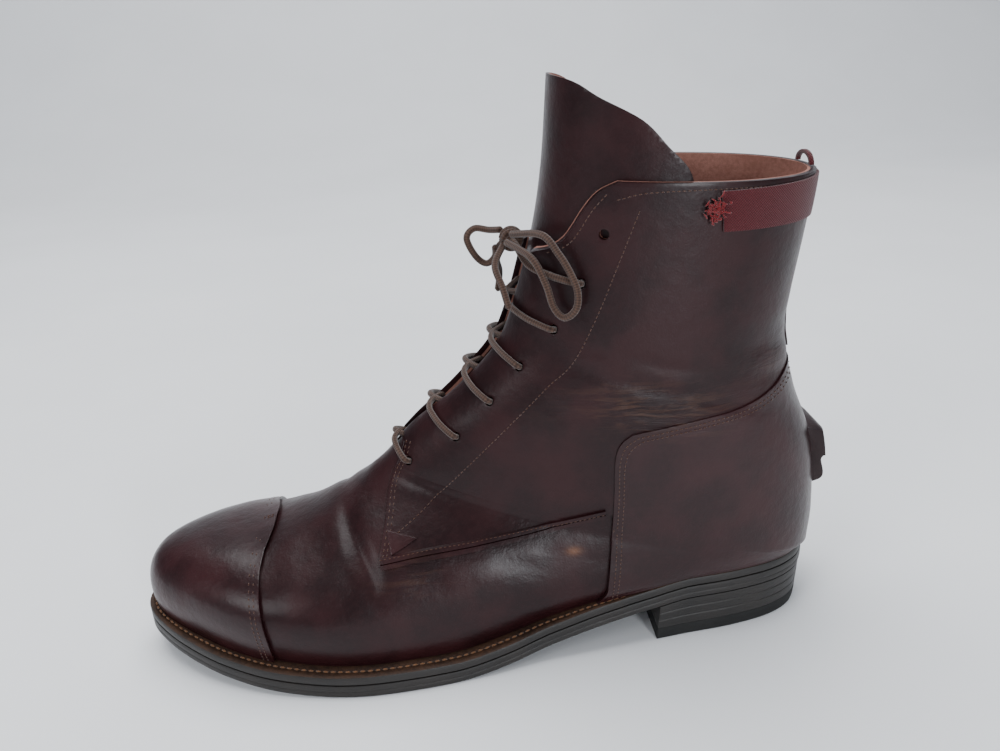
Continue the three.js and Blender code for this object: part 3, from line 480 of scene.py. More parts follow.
def folds(places: Array, creases: Sequence[Crease]) -> Array:
    """How far the creases move the skin, along its normal, in millimetres.

    Args:
        places: points of the skin, x, y and z last.
        creases: the creases that apply.

    Returns:
        One move per point; negative is a trough.
    """
    x, y, z = places[..., 0], places[..., 1], places[..., 2]
    lateral = smoothstep(y - swing(x), -6.0, 6.0)
    moved = np.zeros(x.shape)
    for crease in creases:
        low, high = np.min(crease.line, axis=0), np.max(crease.line, axis=0)
        reach = 3 * crease.width
        near = (
            (x > low[0] - reach) & (x < high[0] + reach)
            & (z > low[1] - reach) & (z < high[1] + reach)
        )
        if not near.any():
            continue
        away, along = line_distance(x[near], z[near], crease.line)
        ends = np.sin(np.pi * np.clip(along, 0.02, 0.98)) ** 0.6
        shape = np.exp(-((away / crease.width) ** 2))
        side = np.zeros(x[near].shape)
        if Side.LATERAL in crease.sides:
            side += lateral[near]
        if Side.MEDIAL in crease.sides:
            side += 1 - lateral[near]
        moved[near] -= crease.depth * shape * ends * side
    return moved


CREASES: tuple[Crease, ...] = (
    Crease(((110, 131), (96, 127), (82, 121.5), (66, 117), (50, 112), (34, 105)), 1.1, 3.4),
    Crease(((104, 138), (90, 135), (74, 130), (58, 127)), 0.5, 2.6),
    Crease(((100, 119), (84, 112), (66, 109.5)), 0.6, 2.4),
    Crease(((122, 116), (108, 108), (98, 103)), 0.6, 3.0),
    Crease(((40, 122), (26, 118), (12, 113)), 0.7, 3.4),
    Crease(((44, 134), (28, 131), (14, 128)), 0.5, 3.6),
    Crease(((210, 70), (205, 60), (199, 50), (196, 41)), 1.7, 4.2),
    Crease(((221, 63), (217, 54), (214, 44), (213, 36)), 0.22, 6.0),
    Crease(((234, 58), (232, 50), (231, 42)), -0.25, 5.0),
    Crease(((186, 52), (176, 47), (164, 44)), 0.6, 5.0),
    Crease(((150, 50), (132, 48), (116, 50)), 0.5, 6.0),
)


class Lattice:
    """Rings of points round the upper with their normals, worked out once and grown often."""

    def __init__(self, first: float, last: float, pitch: float, around: int) -> None:
        """Lays the rings.

        Args:
            first: the first section number.
            last: the last section number.
            pitch: millimetres between rings.
            around: steps down each side of a ring.
        """
        self.rows = UPPER.rows_between(first, last, pitch)
        shares = np.linspace(0, 1, around + 1)
        outer = UPPER.side_points(self.rows, Side.LATERAL, shares)
        inner = UPPER.side_points(self.rows, Side.MEDIAL, shares)
        inner[:, 0] = outer[:, 0]
        drop = np.where(self.rows >= SEAT_ROW, FOOT_DROP, 0.0)[:, None]
        down = np.zeros((len(self.rows), 1, 3))
        down[..., 2] = drop
        self.places = np.concatenate(
            [outer, outer[:, -1:] - down, inner[:, -1:] - down, inner[:, :0:-1]], axis=1
        )
        self.normals = self._normals(around)
        self.moves = folds(self.places, CREASES)

    def _normals(self, last: int) -> Array:
        """Outward normals at every point, with the feather's points turned level.

        Args:
            last: The number of a ring's last point on the lateral skin.

        Returns:
            A normal for each point.
        """
        down = np.gradient(self.places, axis=0)
        ahead, behind = np.roll(self.places, -1, axis=1), np.roll(self.places, 1, axis=1)
        normals = np.cross(down, ahead - behind)
        lateral, medial = last, last + 3
        for skin, foot in ((lateral, last + 1), (medial, last + 2)):
            normals[:, foot] = normals[:, skin]
        normals[0, :, 2] = 0.0
        leg = self.rows <= SEAT_ROW
        joined = normals[leg, lateral] + normals[leg, medial]
        for index in range(last, last + 4):
            normals[leg, index] = joined
        foot = self.rows >= SEAT_ROW
        for index in (last + 1, last + 2):
            normals[foot, index, 2] = 0.0
        size = np.linalg.norm(normals, axis=-1, keepdims=True)
        ahead_only = np.zeros_like(normals)
        ahead_only[..., 0] = 1.0
        return np.where(size < 1e-9, ahead_only, normals / np.maximum(size, 1e-9))

    def grown(self, offset: Union[float, Array], lift: float = 0.0) -> Array:
        """Points raised square to the skin, with the first ring carried on by a lift.

        Args:
            offset: How far each point is raised.
            lift: How far the first ring is carried on upwards.

        Returns:
            The raised points.
        """
        moved = self.places + self.normals * (np.asarray(offset) + self.moves)[..., None]
        if lift:
            up = moved[0] - moved[1]
            moved[0] += up * (lift / np.maximum(up[:, 2:3], 0.05))
        return moved


# Meshes


def to_frame(places: Array) -> Array:
    """Millimetres from the sole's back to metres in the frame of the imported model."""
    return (np.asarray(places, float) - np.array([SIZES.heel_centre, 0.0, 0.0])) * MM


def object_of(name: str, bm: bmesh.types.BMesh) -> bpy.types.Object:
    """Writes a bmesh to a new object in the scene and frees it.

    Args:
        name: The new object's name.
        bm: The mesh, freed afterwards.

    Returns:
        The object.
    """
    mesh = bpy.data.meshes.new(name)
    bm.to_mesh(mesh)
    bm.free()
    piece = bpy.data.objects.new(name, mesh)
    bpy.context.scene.collection.objects.link(piece)
    return piece


def grid_bmesh(places: Array, endless: bool) -> bmesh.types.BMesh:
    """A grid laid over an array of points.

    Args:
        places: rings by points by x, y and z, in metres.
        endless: whether each ring closes on itself.

    Returns:
        The bmesh, with its doubles merged.
    """
    if endless:
        places = np.concatenate([places, places[:, :1]], axis=1)
    rings, count = places.shape[:2]
    bm = bmesh.new()
    bm.loops.layers.uv.new("weave")
    bmesh.ops.create_grid(
        bm, x_segments=count - 1, y_segments=rings - 1, size=1.0, calc_uvs=True
    )
    bm.verts.ensure_lookup_table()
    for vertex in bm.verts:
        j = round((vertex.co.x + 1) / 2 * (count - 1))
        i = round((vertex.co.y + 1) / 2 * (rings - 1))
        vertex.co = places[i, j]
    bmesh.ops.remove_doubles(bm, verts=bm.verts, dist=1e-6)
    return bm


def closed_form(name: str, places: Array) -> bpy.types.Object:
    """A closed skin over rings of points in millimetres, with its open ends filled.

    Args:
        name: The new object's name.
        places: The points, ring by ring.

    Returns:
        The object.
    """
    bm = grid_bmesh(to_frame(places), endless=True)
    fins = [
        face for face in bm.faces
        if {1, 3} <= {len(edge.link_faces) for edge in face.edges}
    ]
    bmesh.ops.delete(bm, geom=fins, context="FACES")
    rim = [edge for edge in bm.edges if edge.is_boundary]
    if rim:
        bmesh.ops.holes_fill(bm, edges=rim, sides=0)
    bmesh.ops.recalc_face_normals(bm, faces=bm.faces)
    return object_of(name, bm)


def smooth_line(points: Points, step: float, closed: bool = False) -> Array:
    """Points at a step along a smooth line through the given ones.

    Args:
        points: The points that the line passes through.
        step: The distance between points.
        closed: Whether the line returns to its first point.

    Returns:
        The points.
    """
    given = np.array(points, float)
    if closed:
        given = np.concatenate([given[-1:], given, given[:2]])
    else:
        given = np.concatenate([2 * given[:1] - given[1:2], given, 2 * given[-1:] - given[-2:-1]])
    out = []
    for i in range(1, len(given) - 2):
        a, b, c, d = given[i - 1:i + 3]
        count = max(1, int(np.linalg.norm(c - b) / step))
        for t in np.arange(count) / count:
            out.append(b + 0.5 * t * (
                c - a + t * (2 * a - 5 * b + 4 * c - d + t * (3 * (b - c) + d - a))
            ))
    if not closed:
        out.append(given[-2])
    return np.array(out)


def side_slab(
    name: str, outline: Points, low: float = -110.0, high: float = 110.0, step: float = 2.5
) -> bpy.types.Object:
    """A slab across the boot whose side view is a smooth closed outline of x and z.

    Args:
        name: The new object's name.
        outline: The closed side view.
        low: The near side, across the boot.
        high: The far side.
        step: The distance between points.

    Returns:
        The slab.
    """
    line = smooth_line(outline, step, closed=True) if step else np.array(outline, float)
    base = np.stack([line[:, 0], np.full(len(line), low), line[:, 1]], axis=1)
    return prism(name, base, (0, high - low, 0))


def discard(piece: bpy.types.Object) -> None:
    """Removes a helper object and its mesh."""
    mesh = piece.data
    bpy.data.objects.remove(piece)
    bpy.data.meshes.remove(mesh)


class Cut(Enum):
    """What a boolean keeps."""

    INSIDE = "INTERSECT"
    OUTSIDE = "DIFFERENCE"


def bake(piece: bpy.types.Object) -> None:
    """Applies an object's modifiers to its mesh.

    Args:
        piece: The piece to work on.
    """
    graph = bpy.context.evaluated_depsgraph_get()
    graph.update()
    mesh = bpy.data.meshes.new_from_object(piece.evaluated_get(graph))
    old = piece.data
    piece.modifiers.clear()
    piece.data = mesh
    mesh.name = piece.name
    bpy.data.meshes.remove(old)


def cut(
    piece: bpy.types.Object, tool: bpy.types.Object, keep: Cut, spare: bool = False
) -> bpy.types.Object:
    """Cuts a piece with a tool and removes the tool unless it is spared.

    Args:
        piece: The piece to work on.
        tool: The cutter.
        keep: Which part of the piece stays.
        spare: Whether the cutter is kept.

    Returns:
        The piece.
    """
    modifier = piece.modifiers.new("cut", "BOOLEAN")
    modifier.operation = keep.value
    modifier.solver = "MANIFOLD"
    modifier.object = tool
    before = len(piece.data.vertices)
    bake(piece)
    if len(piece.data.vertices) in (0, before):
        LOG.warning("%s: the cut by %s changed nothing or left nothing", piece.name, tool.name)
    if not spare:
        discard(tool)
    return piece


SHARP = math.radians(38)


def finish_edges(piece: bpy.types.Object, bevel: float = 0.0, segments: int = 2) -> None:
    """Shades a piece smooth, with its sharp edges kept and, if asked, softened.

    Args:
        piece: The piece to work on.
        bevel: The bevel's width in millimetres, or 0.
        segments: The bevel's segments.
    """
    bm = bmesh.new()
    bm.from_mesh(piece.data)
    bmesh.ops.remove_doubles(bm, verts=bm.verts, dist=0.00006)
    bmesh.ops.dissolve_degenerate(bm, edges=bm.edges, dist=0.00005)
    for face in bm.faces:
        face.smooth = True
    if bevel:
        sharp = [
            edge for edge in bm.edges
            if edge.is_manifold and edge.calc_face_angle(0.0) > SHARP
        ]
        bmesh.ops.bevel(
            bm, geom=sharp, offset=bevel * MM, segments=segments, profile=0.5,
            affect="EDGES", material=-1, clamp_overlap=True,
        )
        for face in bm.faces:
            face.smooth = True
    for edge in bm.edges:
        edge.smooth = not (edge.is_manifold and edge.calc_face_angle(0.0) > SHARP)
    bm.to_mesh(piece.data)
    bm.free()


def set_attribute(piece: bpy.types.Object, name: str, values: Array) -> None:
    """Stores one number per vertex under a name that materials can read."""
    attribute = piece.data.attributes.new(name, "FLOAT", "POINT")
    attribute.data.foreach_set("value", np.asarray(values, np.float32))


def places_of(piece: bpy.types.Object) -> Array:
    """A mesh's vertices in millimetres from the sole's back."""
    flat = np.empty(len(piece.data.vertices) * 3)
    piece.data.vertices.foreach_get("co", flat)
    return flat.reshape(-1, 3) / MM + np.array([SIZES.heel_centre, 0.0, 0.0])


def settle(
    piece: bpy.types.Object, material: bpy.types.Material, nodes: Sequence[str] = ()
) -> bpy.types.Object:
    """Gives a finished piece its material and body, and hides the solids that it stands for.

    Args:
        piece: The piece to work on.
        material: The finish.
        nodes: The solids that it stands for.

    Returns:
        The piece.
    """
    piece.data.materials.clear()
    piece.data.materials.append(material)
    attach(piece, BODY)
    if nodes:
        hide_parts(*nodes)
    LOG.info("%s: %d faces", piece.name, len(piece.data.polygons))
    return piece


class SkinMap:
    """Finds the place and normal of the skin behind a point of the side view."""

    def __init__(self) -> None:
        """Lays a lattice over each side and a search tree over its side view."""
        self.rows = UPPER.rows_between(0.0, TIP_ROW, 2.5)
        self.shares = np.linspace(0, 1, 121)
        self.grids: dict[Side, Array] = {}
        self.trees: dict[Side, kdtree.KDTree] = {}
        for side in BOTH:
            grid = UPPER.side_points(self.rows, side, self.shares)
            tree = kdtree.KDTree(grid.shape[0] * grid.shape[1])
            for index, (x, _, z) in enumerate(grid.reshape(-1, 3)):
                tree.insert((x, z, 0.0), index)
            tree.balance()
            self.grids[side], self.trees[side] = grid, tree

    def place(self, line: Array, side: Side, lift: float = 0.0) -> tuple[Array, Array]:
        """Puts a line of the side view on the skin.

        Args:
            line: x and z of its points.
            side: the side of the boot.
            lift: millimetres above the skin.

        Returns:
            The points and the skin's normals there.
        """
        grid = self.grids[side]
        places, normals = [], []
        for x, z in np.asarray(line, float):
            _, index, _ = self.trees[side].find((x, z, 0.0))
            i, j = divmod(index, grid.shape[1])
            i = min(max(i, 1), grid.shape[0] - 2)
            j = min(max(j, 1), grid.shape[1] - 2)
            down = (grid[i + 1, j] - grid[i - 1, j]) / 2
            across = (grid[i, j + 1] - grid[i, j - 1]) / 2
            matrix = np.array([[down[0], across[0]], [down[2], across[2]]])
            offset = np.array([x - grid[i, j, 0], z - grid[i, j, 2]])
            if abs(np.linalg.det(matrix)) > 1e-3:
                step = np.clip(np.linalg.solve(matrix, offset), -2.0, 2.0)
            else:
                step = np.zeros(2)
            normal = np.cross(down, across) * side.value
            normal /= max(np.linalg.norm(normal), 1e-9)
            places.append(grid[i, j] + down * step[0] + across * step[1])
            normals.append(normal)
        places, normals = np.array(places), np.array(normals)
        moved = folds(places, CREASES) + lift
        return places + normals * moved[:, None], normals


    def find(self, x: float, z: float, side: Side) -> tuple[float, float]:
        """The section number and share at which the skin stands behind x and z.

        Args:
            x: Places along the boot, in millimetres.
            z: Heights, in millimetres.
            side: The side of the boot.

        Returns:
            The section number and the share.
        """
        grid = self.grids[side]
        _, index, _ = self.trees[side].find((x, z, 0.0))
        i, j = divmod(index, grid.shape[1])
        i = min(max(i, 1), grid.shape[0] - 2)
        return float(self.rows[i]), float(self.shares[j])

    def at(self, row: float, share: float, side: Side, lift: float) -> tuple[Array, Array]:
        """A point of the skin raised square to it, and the normal there.

        Args:
            row: The section number.
            share: The share of the way round.
            side: The side of the boot.
            lift: The height over the skin.

        Returns:
            The point and the normal.
        """
        nudge = 0.02

        def spot(r: float, s: float) -> Array:
            """The skin's point at a row and a share, past the middle too."""
            face = side if s >= 0 else Side(-side.value)
            return UPPER.side_points(np.array([r]), face, np.array([abs(s)]))[0, 0]

        point = spot(row, share)
        down = spot(row + nudge, share) - spot(row - nudge, share)
        across = spot(row, share + nudge) - spot(row, share - nudge)
        normal = np.cross(down, across) * side.value
        normal /= np.linalg.norm(normal)
        return point + normal * lift, normal


SKIN = SkinMap()
OUTER = Lattice(COLLAR_ROW, TIP_ROW, 1.6, 78)
INNER = Lattice(COLLAR_ROW, TIP_ROW, 3.0, 48)
TALL_OUTER = Lattice(0.0, 12.0, 1.8, 70)
TALL_INNER = Lattice(0.0, 12.0, 3.0, 48)


def prism(name: str, base: Array, way: Sequence[float]) -> bpy.types.Object:
    """A straight-sided solid from a flat outline and the way it is pushed, in millimetres.

    Args:
        name: The new object's name.
        base: The flat outline.
        way: How far and which way it is pushed.

    Returns:
        The solid.
    """
    bm = bmesh.new()
    face = bm.faces.new([bm.verts.new(place) for place in to_frame(base)])
    out = bmesh.ops.extrude_face_region(bm, geom=[face])
    moved = [item for item in out["geom"] if isinstance(item, bmesh.types.BMVert)]
    bmesh.ops.translate(bm, verts=moved, vec=Vector(way) * MM)
    bmesh.ops.holes_fill(bm, edges=[edge for edge in bm.edges if edge.is_boundary], sides=0)
    bmesh.ops.recalc_face_normals(bm, faces=bm.faces)
    return object_of(name, bm)


def sized(rows: Points) -> Array:
    """A side view's shares of the length and of the collar's height as millimetres."""
    return np.array(rows, float) * [SIZES.length, SIZES.collar]


def joined(*strokes: Points, step: float = 2.0) -> Array:
    """One outline from smooth strokes that meet in corners.

    Args:
        strokes: The strokes, each a run of points.
        step: The distance between points.

    Returns:
        The outline.
    """
    lines = [smooth_line(stroke, step) for stroke in strokes]
    whole = np.concatenate(lines)
    keep = np.linalg.norm(whole - np.roll(whole, 1, axis=0), axis=1) > 0.01
    return whole[keep]


def tube(
    name: str, line: Array, radius: Union[float, Array], sides: int = 12, flat: float = 1.0
) -> bpy.types.Object:
    """A cord along a line of close points, with rounded ends and a UV map along it.

    Args:
        name: the piece's name.
        line: points in millimetres from the sole's back.
        radius: the cord's radius, one or one per point.
        sides: points round the cord.
        flat: how far the cord is pressed flat, 1 for round.

    Returns:
        The piece.
    """
    line = np.asarray(line, float)
    way = np.gradient(line, axis=0)
    way /= np.linalg.norm(way, axis=1, keepdims=True)
    across = np.cross(way[0], [0.0, 0.0, 1.0])
    if np.linalg.norm(across) < 0.1:
        across = np.cross(way[0], [1.0, 0.0, 0.0])
    radii = np.broadcast_to(radius, (len(line),)).copy()
    radii[[0, -1]] *= 0.45
    turns = np.arange(sides) * 2 * np.pi / sides
    rings = []
    for point, ahead, size in zip(line, way, radii):
        across = across - ahead * (across @ ahead)
        across /= np.linalg.norm(across)
        up = np.cross(ahead, across)
        rings.append(
            point + size * (np.outer(np.cos(turns), across) + flat * np.outer(np.sin(turns), up))
        )
    bm = grid_bmesh(to_frame(np.array(rings)), endless=True)
    rim = [edge for edge in bm.edges if edge.is_boundary]
    bmesh.ops.holes_fill(bm, edges=rim, sides=0)
    bmesh.ops.recalc_face_normals(bm, faces=bm.faces)
    layer_uv = bm.loops.layers.uv.active
    length = float(np.linalg.norm(np.diff(line, axis=0), axis=1).sum())
    for face in bm.faces:
        face.smooth = True
        for loop in face.loops:
            u, v = loop[layer_uv].uv
            loop[layer_uv].uv = (u, v * length / SIZES.lace)
    return object_of(name, bm)


def combined(name: str, parts: Sequence[bpy.types.Object]) -> bpy.types.Object:
    """Joins separate meshes to one piece.

    Args:
        name: The new object's name.
        parts: The meshes, removed afterwards.

    Returns:
        The piece.
    """
    bm = bmesh.new()
    for part in parts:
        bm.from_mesh(part.data)
        discard(part)
    return object_of(name, bm)


def stitches(
    name: str, runs: Sequence[tuple[Array, Array]], length: float, radius: float
) -> bpy.types.Object:
    """A row of sewn stitches, each a small rounded bar lying on the leather.

    Args:
        name: the piece's name.
        runs: for each row its stitch places and the leather's normals there.
        length: length of a stitch in millimetres.
        radius: half its thickness in millimetres.

    Returns:
        The piece.
    """
    bm = bmesh.new()
    for places, normals in runs:
        ways = np.gradient(places, axis=0)
        for place, normal, way in zip(to_frame(places), normals, ways):
            ahead = Vector(way).normalized()
            up = Vector(normal)
            across = up.cross(ahead).normalized()
            up = ahead.cross(across)
            turn = Matrix((ahead * length, across * radius * 2, up * radius * 2)).transposed()
            matrix = Matrix.Translation(place) @ (turn * (MM / 2)).to_4x4()
            bmesh.ops.create_uvsphere(bm, u_segments=6, v_segments=4, radius=1.0, matrix=matrix)
    for face in bm.faces:
        face.smooth = True
    return object_of(name, bm)


def evenly(line: Array, pitch: float) -> Array:
    """Points at an even pitch along a line."""
    run = np.concatenate([[0.0], np.linalg.norm(np.diff(line, axis=0), axis=1).cumsum()])
    at = np.arange(pitch / 2, run[-1], pitch)
    return np.stack([np.interp(at, run, line[:, k]) for k in range(line.shape[1])], axis=1)


# Finishes

Colour = tuple[float, float, float]
Feed = Union["Signal", bpy.types.NodeSocket, float, int, tuple]


class Signal:
    """A number on its way through a material's tree, for use in Python expressions."""

    def __init__(self, tree: bpy.types.NodeTree, socket: bpy.types.NodeSocket) -> None:
        """Wraps an output socket."""
        self.tree, self.socket = tree, socket

    def _with(self, operation: str, *items: Feed) -> "Signal":
        """Adds one Math node.

        Args:
            operation: The node's operation.
            items: The inputs.

        Returns:
            The node's output.
        """
        node = self.tree.nodes.new("ShaderNodeMath")
        node.operation = operation
        for item, entry in zip(items, node.inputs):
            if isinstance(item, Signal):
                self.tree.links.new(item.socket, entry)
            else:
                entry.default_value = float(item)
        return Signal(self.tree, node.outputs[0])

    def __add__(self, other: Feed) -> "Signal":
        """This plus another."""
        return self._with("ADD", self, other)

    def __sub__(self, other: Feed) -> "Signal":
        """This less another."""
        return self._with("SUBTRACT", self, other)

    def __rsub__(self, other: Feed) -> "Signal":
        """Another less this."""
        return self._with("SUBTRACT", other, self)

    def __mul__(self, other: Feed) -> "Signal":
        """This times another."""
        return self._with("MULTIPLY", self, other)

    def __pow__(self, other: Feed) -> "Signal":
        """This to a power."""
        return self._with("POWER", self, other)

    def wave(self) -> "Signal":
        """The sine of this."""
        return self._with("SINE", self)

    __radd__ = __add__
    __rmul__ = __mul__


class Surface:
    """A material's tree round its one Principled shader."""

    def __init__(self, name: str) -> None:
        """Starts the material.

        Args:
            name: The material's name.
        """
        self.material = bpy.data.materials.new(name)
        self.material.use_nodes = True
        self.tree = self.material.node_tree
        self.shader = self.tree.nodes["Principled BSDF"]
        self.place = self.node("ShaderNodeTexCoord").outputs["Object"]

    def node(
        self, kind: str, settings: Optional[dict] = None, inputs: Optional[dict] = None
    ) -> bpy.types.Node:
        """Adds any node.

        Args:
            kind: the node's type.
            settings: its properties, set first.
            inputs: values or links by the name or number of its sockets.

        Returns:
            The node.
        """
        node = self.tree.nodes.new(kind)
        for name, value in (settings or {}).items():
            setattr(node, name, value)
        for name, value in (inputs or {}).items():
            self.feed(node.inputs[name], value)
        return node

    def feed(self, entry: bpy.types.NodeSocket, value: Feed) -> None:
        """Links or sets one input socket.

        Args:
            entry: The input socket.
            value: The value or the link.
        """
        if isinstance(value, Signal):
            self.tree.links.new(value.socket, entry)
        elif isinstance(value, bpy.types.NodeSocket):
            self.tree.links.new(value, entry)
        elif isinstance(value, tuple) and entry.type == "RGBA":
            entry.default_value = (*value, 1.0)
        else:
            entry.default_value = value

    def stretched(self, stretch: tuple[float, float, float]) -> bpy.types.NodeSocket:
        """The place with each direction scaled."""
        return self.node(
            "ShaderNodeVectorMath", {"operation": "MULTIPLY"}, {0: self.place, 1: stretch}
        ).outputs[0]

    def noise(
        self, size: float, detail: float = 2.0, stretch: tuple[float, float, float] = (1, 1, 1),
        roughness: float = 0.5, twist: float = 0.0,
    ) -> Signal:
        """Soft noise whose patches are about a size in millimetres.

        Args:
            size: The size of a patch in millimetres.
            detail: The noise's octaves.
            stretch: How much finer it is along each axis.
            roughness: How strong the fine octaves are.
            twist: The noise's distortion.

        Returns:
            The noise.
        """
        node = self.node("ShaderNodeTexNoise", None, {
            "Vector": self.stretched(stretch), "Scale": 1 / (size * MM), "Detail": detail,
            "Roughness": roughness, "Distortion": twist,
        })
        return Signal(self.tree, node.outputs[0])

    def pebbles(self, size: float, stretch: tuple[float, float, float] = (1, 1, 1)) -> Signal:
        """Leather's pebbles, higher towards the middle of each.

        Args:
            size: The size of a patch in millimetres.
            stretch: How much finer it is along each axis.

        Returns:
            The pebbles' height.
        """
        node = self.node("ShaderNodeTexVoronoi", {"feature": "SMOOTH_F1"}, {
            "Vector": self.stretched(stretch), "Scale": 1 / (size * MM), "Smoothness": 0.35,
        })
        return 1.0 - Signal(self.tree, node.outputs["Distance"])

    def attribute(self, name: str) -> Signal:
        """A number stored at the mesh's vertices."""
        node = self.node("ShaderNodeAttribute", {"attribute_name": name})
        return Signal(self.tree, node.outputs["Fac"])

    def step(self, signal: Signal, low: float, high: float) -> Signal:
        """A soft step from 0 at low to 1 at high.

        Args:
            signal: The value to step.
            low: Where the step begins.
            high: Where the step ends.

        Returns:
            The stepped value.
        """
        node = self.node("ShaderNodeMapRange", {"interpolation_type": "SMOOTHSTEP"}, {
            "Value": signal, "From Min": low, "From Max": high,
        })
        return Signal(self.tree, node.outputs[0])

    def blend(self, factor: Feed, first: Feed, second: Feed) -> bpy.types.NodeSocket:
        """A colour between two."""
        node = self.node("ShaderNodeMix", {"data_type": "RGBA"}, {0: factor, 6: first, 7: second})
        return node.outputs[2]

    def relief(self, height: Signal, depth: float, under: Optional[Feed] = None) -> Feed:
        """Bump of a depth in millimetres, on top of another.

        Args:
            height: The height, from 0 to 1.
            depth: Its depth in millimetres.
            under: The bump below it.

        Returns:
            The bumped normal.
        """
        inputs = {"Height": height, "Distance": depth * MM, "Strength": 1.0}
        if under is not None:
            inputs["Normal"] = under
        return self.node("ShaderNodeBump", None, inputs).outputs[0]

    def finished(self, **sockets: Feed) -> bpy.types.Material:
        """Feeds the shader's sockets, named with _ for a space."""
        for name, value in sockets.items():
            self.feed(self.shader.inputs[name.replace("_", " ")], value)
        return self.material


@dataclass(frozen=True)
class Leather:
    """Polished, waxed leather with a fine grain and worn places."""

    name: str
    base: Colour = (0.0240, 0.0054, 0.0064)
    deep: Colour = (0.0118, 0.0029, 0.0036)
    worn: Colour = (0.062, 0.027, 0.016)
    scuffed: Colour = (0.20, 0.085, 0.040)
    roughness: float = 0.40
    gloss: float = 0.10
    shine: float = 0.20
    grain: float = 0.75
    grain_depth: float = 0.045
    wrinkle: bool = True

    def paint(self) -> bpy.types.Material:
        """Makes the material.

        Returns:
            The material.
        """
        skin = Surface(self.name)
        cloud = skin.step(skin.noise(22, 4), 0.35, 0.68)
        fine = skin.noise(2.2, 4, roughness=0.65)
        colour = skin.blend(cloud, self.deep, self.base)
        colour = skin.blend(skin.step(fine, 0.42, 0.75) * 0.35, colour, self.base)
        height = skin.pebbles(self.grain) * 0.6 + skin.noise(self.grain * 0.5, 2) * 0.4
        bump = skin.relief(height, self.grain_depth)
        bump = skin.relief(skin.noise(7, 3, roughness=0.6), 0.35, bump)
        rough = self.roughness + (fine - 0.5) * 0.16 + (cloud - 0.5) * 0.06
        if self.wrinkle:
            wear = skin.attribute("wear")
            lines = skin.noise(5.2, 4, (0.34, 0.34, 2.3), 0.62, 0.7)
            rubbed = skin.step(lines, 0.46, 0.66) * wear
            colour = skin.blend(rubbed * 0.75, colour, self.worn)
            colour = skin.blend(skin.attribute("scuff"), colour, self.scuffed)
            bump = skin.relief(lines * wear, 1.1, bump)
            rough = rough + wear * 0.10
        return skin.finished(
            Base_Color=colour, Roughness=rough, Normal=bump, Coat_Weight=self.gloss,
            Coat_Roughness=0.22, Specular_IOR_Level=self.shine,
        )


@dataclass(frozen=True)
class RawLeather:
    """Unpolished leather: a lining, an insole or a stacked edge."""

    name: str
    base: Colour
    deep: Colour
    roughness: float = 0.75
    grain: float = 0.5
    lay: tuple[float, float, float] = (1, 1, 1)
    shine: float = 0.3
    depth: float = 0.06

    def paint(self) -> bpy.types.Material:
        """Makes the material.

        Returns:
            The material.
        """
        skin = Surface(self.name)
        cloud = skin.noise(16, 4)
        fibre = skin.noise(self.grain * 3, 4, self.lay, 0.65)
        colour = skin.blend(skin.step(cloud * 0.5 + fibre * 0.5, 0.36, 0.64), self.deep, self.base)
        bump = skin.relief(fibre, self.depth * 2)
        bump = skin.relief(skin.pebbles(self.grain), self.depth, bump)
        rough = self.roughness + (fibre - 0.5) * 0.2
        return skin.finished(
            Base_Color=colour, Roughness=rough, Normal=bump, Specular_IOR_Level=self.shine,
        )


@dataclass(frozen=True)
class Woven:
    """Cloth woven from upright and level threads."""

    name: str
    base: Colour
    deep: Colour
    thread: float = 0.55
    roughness: float = 0.88
    along_uv: bool = False

    def paint(self) -> bpy.types.Material:
        """Makes the material.

        Returns:
            The material.
        """
        cloth = Surface(self.name)
        where = cloth.place
        scale = 1 / (self.thread * MM)
        if self.along_uv:
            where = cloth.node("ShaderNodeUVMap", {"uv_map": "weave"}).outputs[0]
        split = cloth.node("ShaderNodeSeparateXYZ", None, {0: where})
        if self.along_uv:
            round_about, along = (Signal(cloth.tree, split.outputs[k]) for k in (0, 1))
            turn = round_about * (6 * math.pi)
            ribs = (turn + along * 9.0).wave()
            other = (turn - along * 9.0).wave()
        else:
            across, up = (Signal(cloth.tree, split.outputs[k]) for k in (0, 2))
            ribs = (across * (scale * math.pi)).wave()
            other = (up * (scale * math.pi)).wave()
        weave = ribs * other * 0.5 + 0.5
        fuzz = cloth.noise(0.5, 3)
        patch = cloth.noise(9, 3)
        shade = cloth.step(weave * 0.55 + fuzz * 0.25 + patch * 0.2, 0.2, 0.8)
        colour = cloth.blend(shade, self.deep, self.base)
        bump = cloth.relief(weave * 0.8 + fuzz * 0.2, 0.22)
        return cloth.finished(
            Base_Color=colour, Roughness=self.roughness, Normal=bump, Specular_IOR_Level=0.2,
            Sheen_Weight=0.25, Sheen_Roughness=0.5,
        )


OXBLOOD = Leather("oxblood_leather")
CAP = Leather(
    "cap_leather", base=(0.0285, 0.0063, 0.0075), deep=(0.0150, 0.0035, 0.0043), roughness=0.36,
    gloss=0.16, shine=0.24,
)
LINING = RawLeather("lining_leather", (0.32, 0.15, 0.115), (0.22, 0.095, 0.07))
SOCK = RawLeather("insole_leather", (0.30, 0.16, 0.10), (0.19, 0.095, 0.06))
SOLE_EDGE = RawLeather(
    "sole_edge", (0.0135, 0.0098, 0.0078), (0.0065, 0.0052, 0.0043), roughness=0.48, lay=(0.35, 0.35, 3.0),
    shine=0.45, depth=0.05,
)
WELT_TOP = RawLeather("welt_leather", (0.060, 0.028, 0.015), (0.022, 0.011, 0.007), roughness=0.6)
RUBBER = RawLeather("heel_rubber", (0.014, 0.0135, 0.013), (0.008, 0.008, 0.008), roughness=0.7)
RED_CLOTH = Woven("band_cloth", (0.085, 0.0075, 0.0105), (0.045, 0.005, 0.008))
FRAY = Woven("frayed_cloth", (0.19, 0.012, 0.015), (0.16, 0.008, 0.010), thread=0.4)
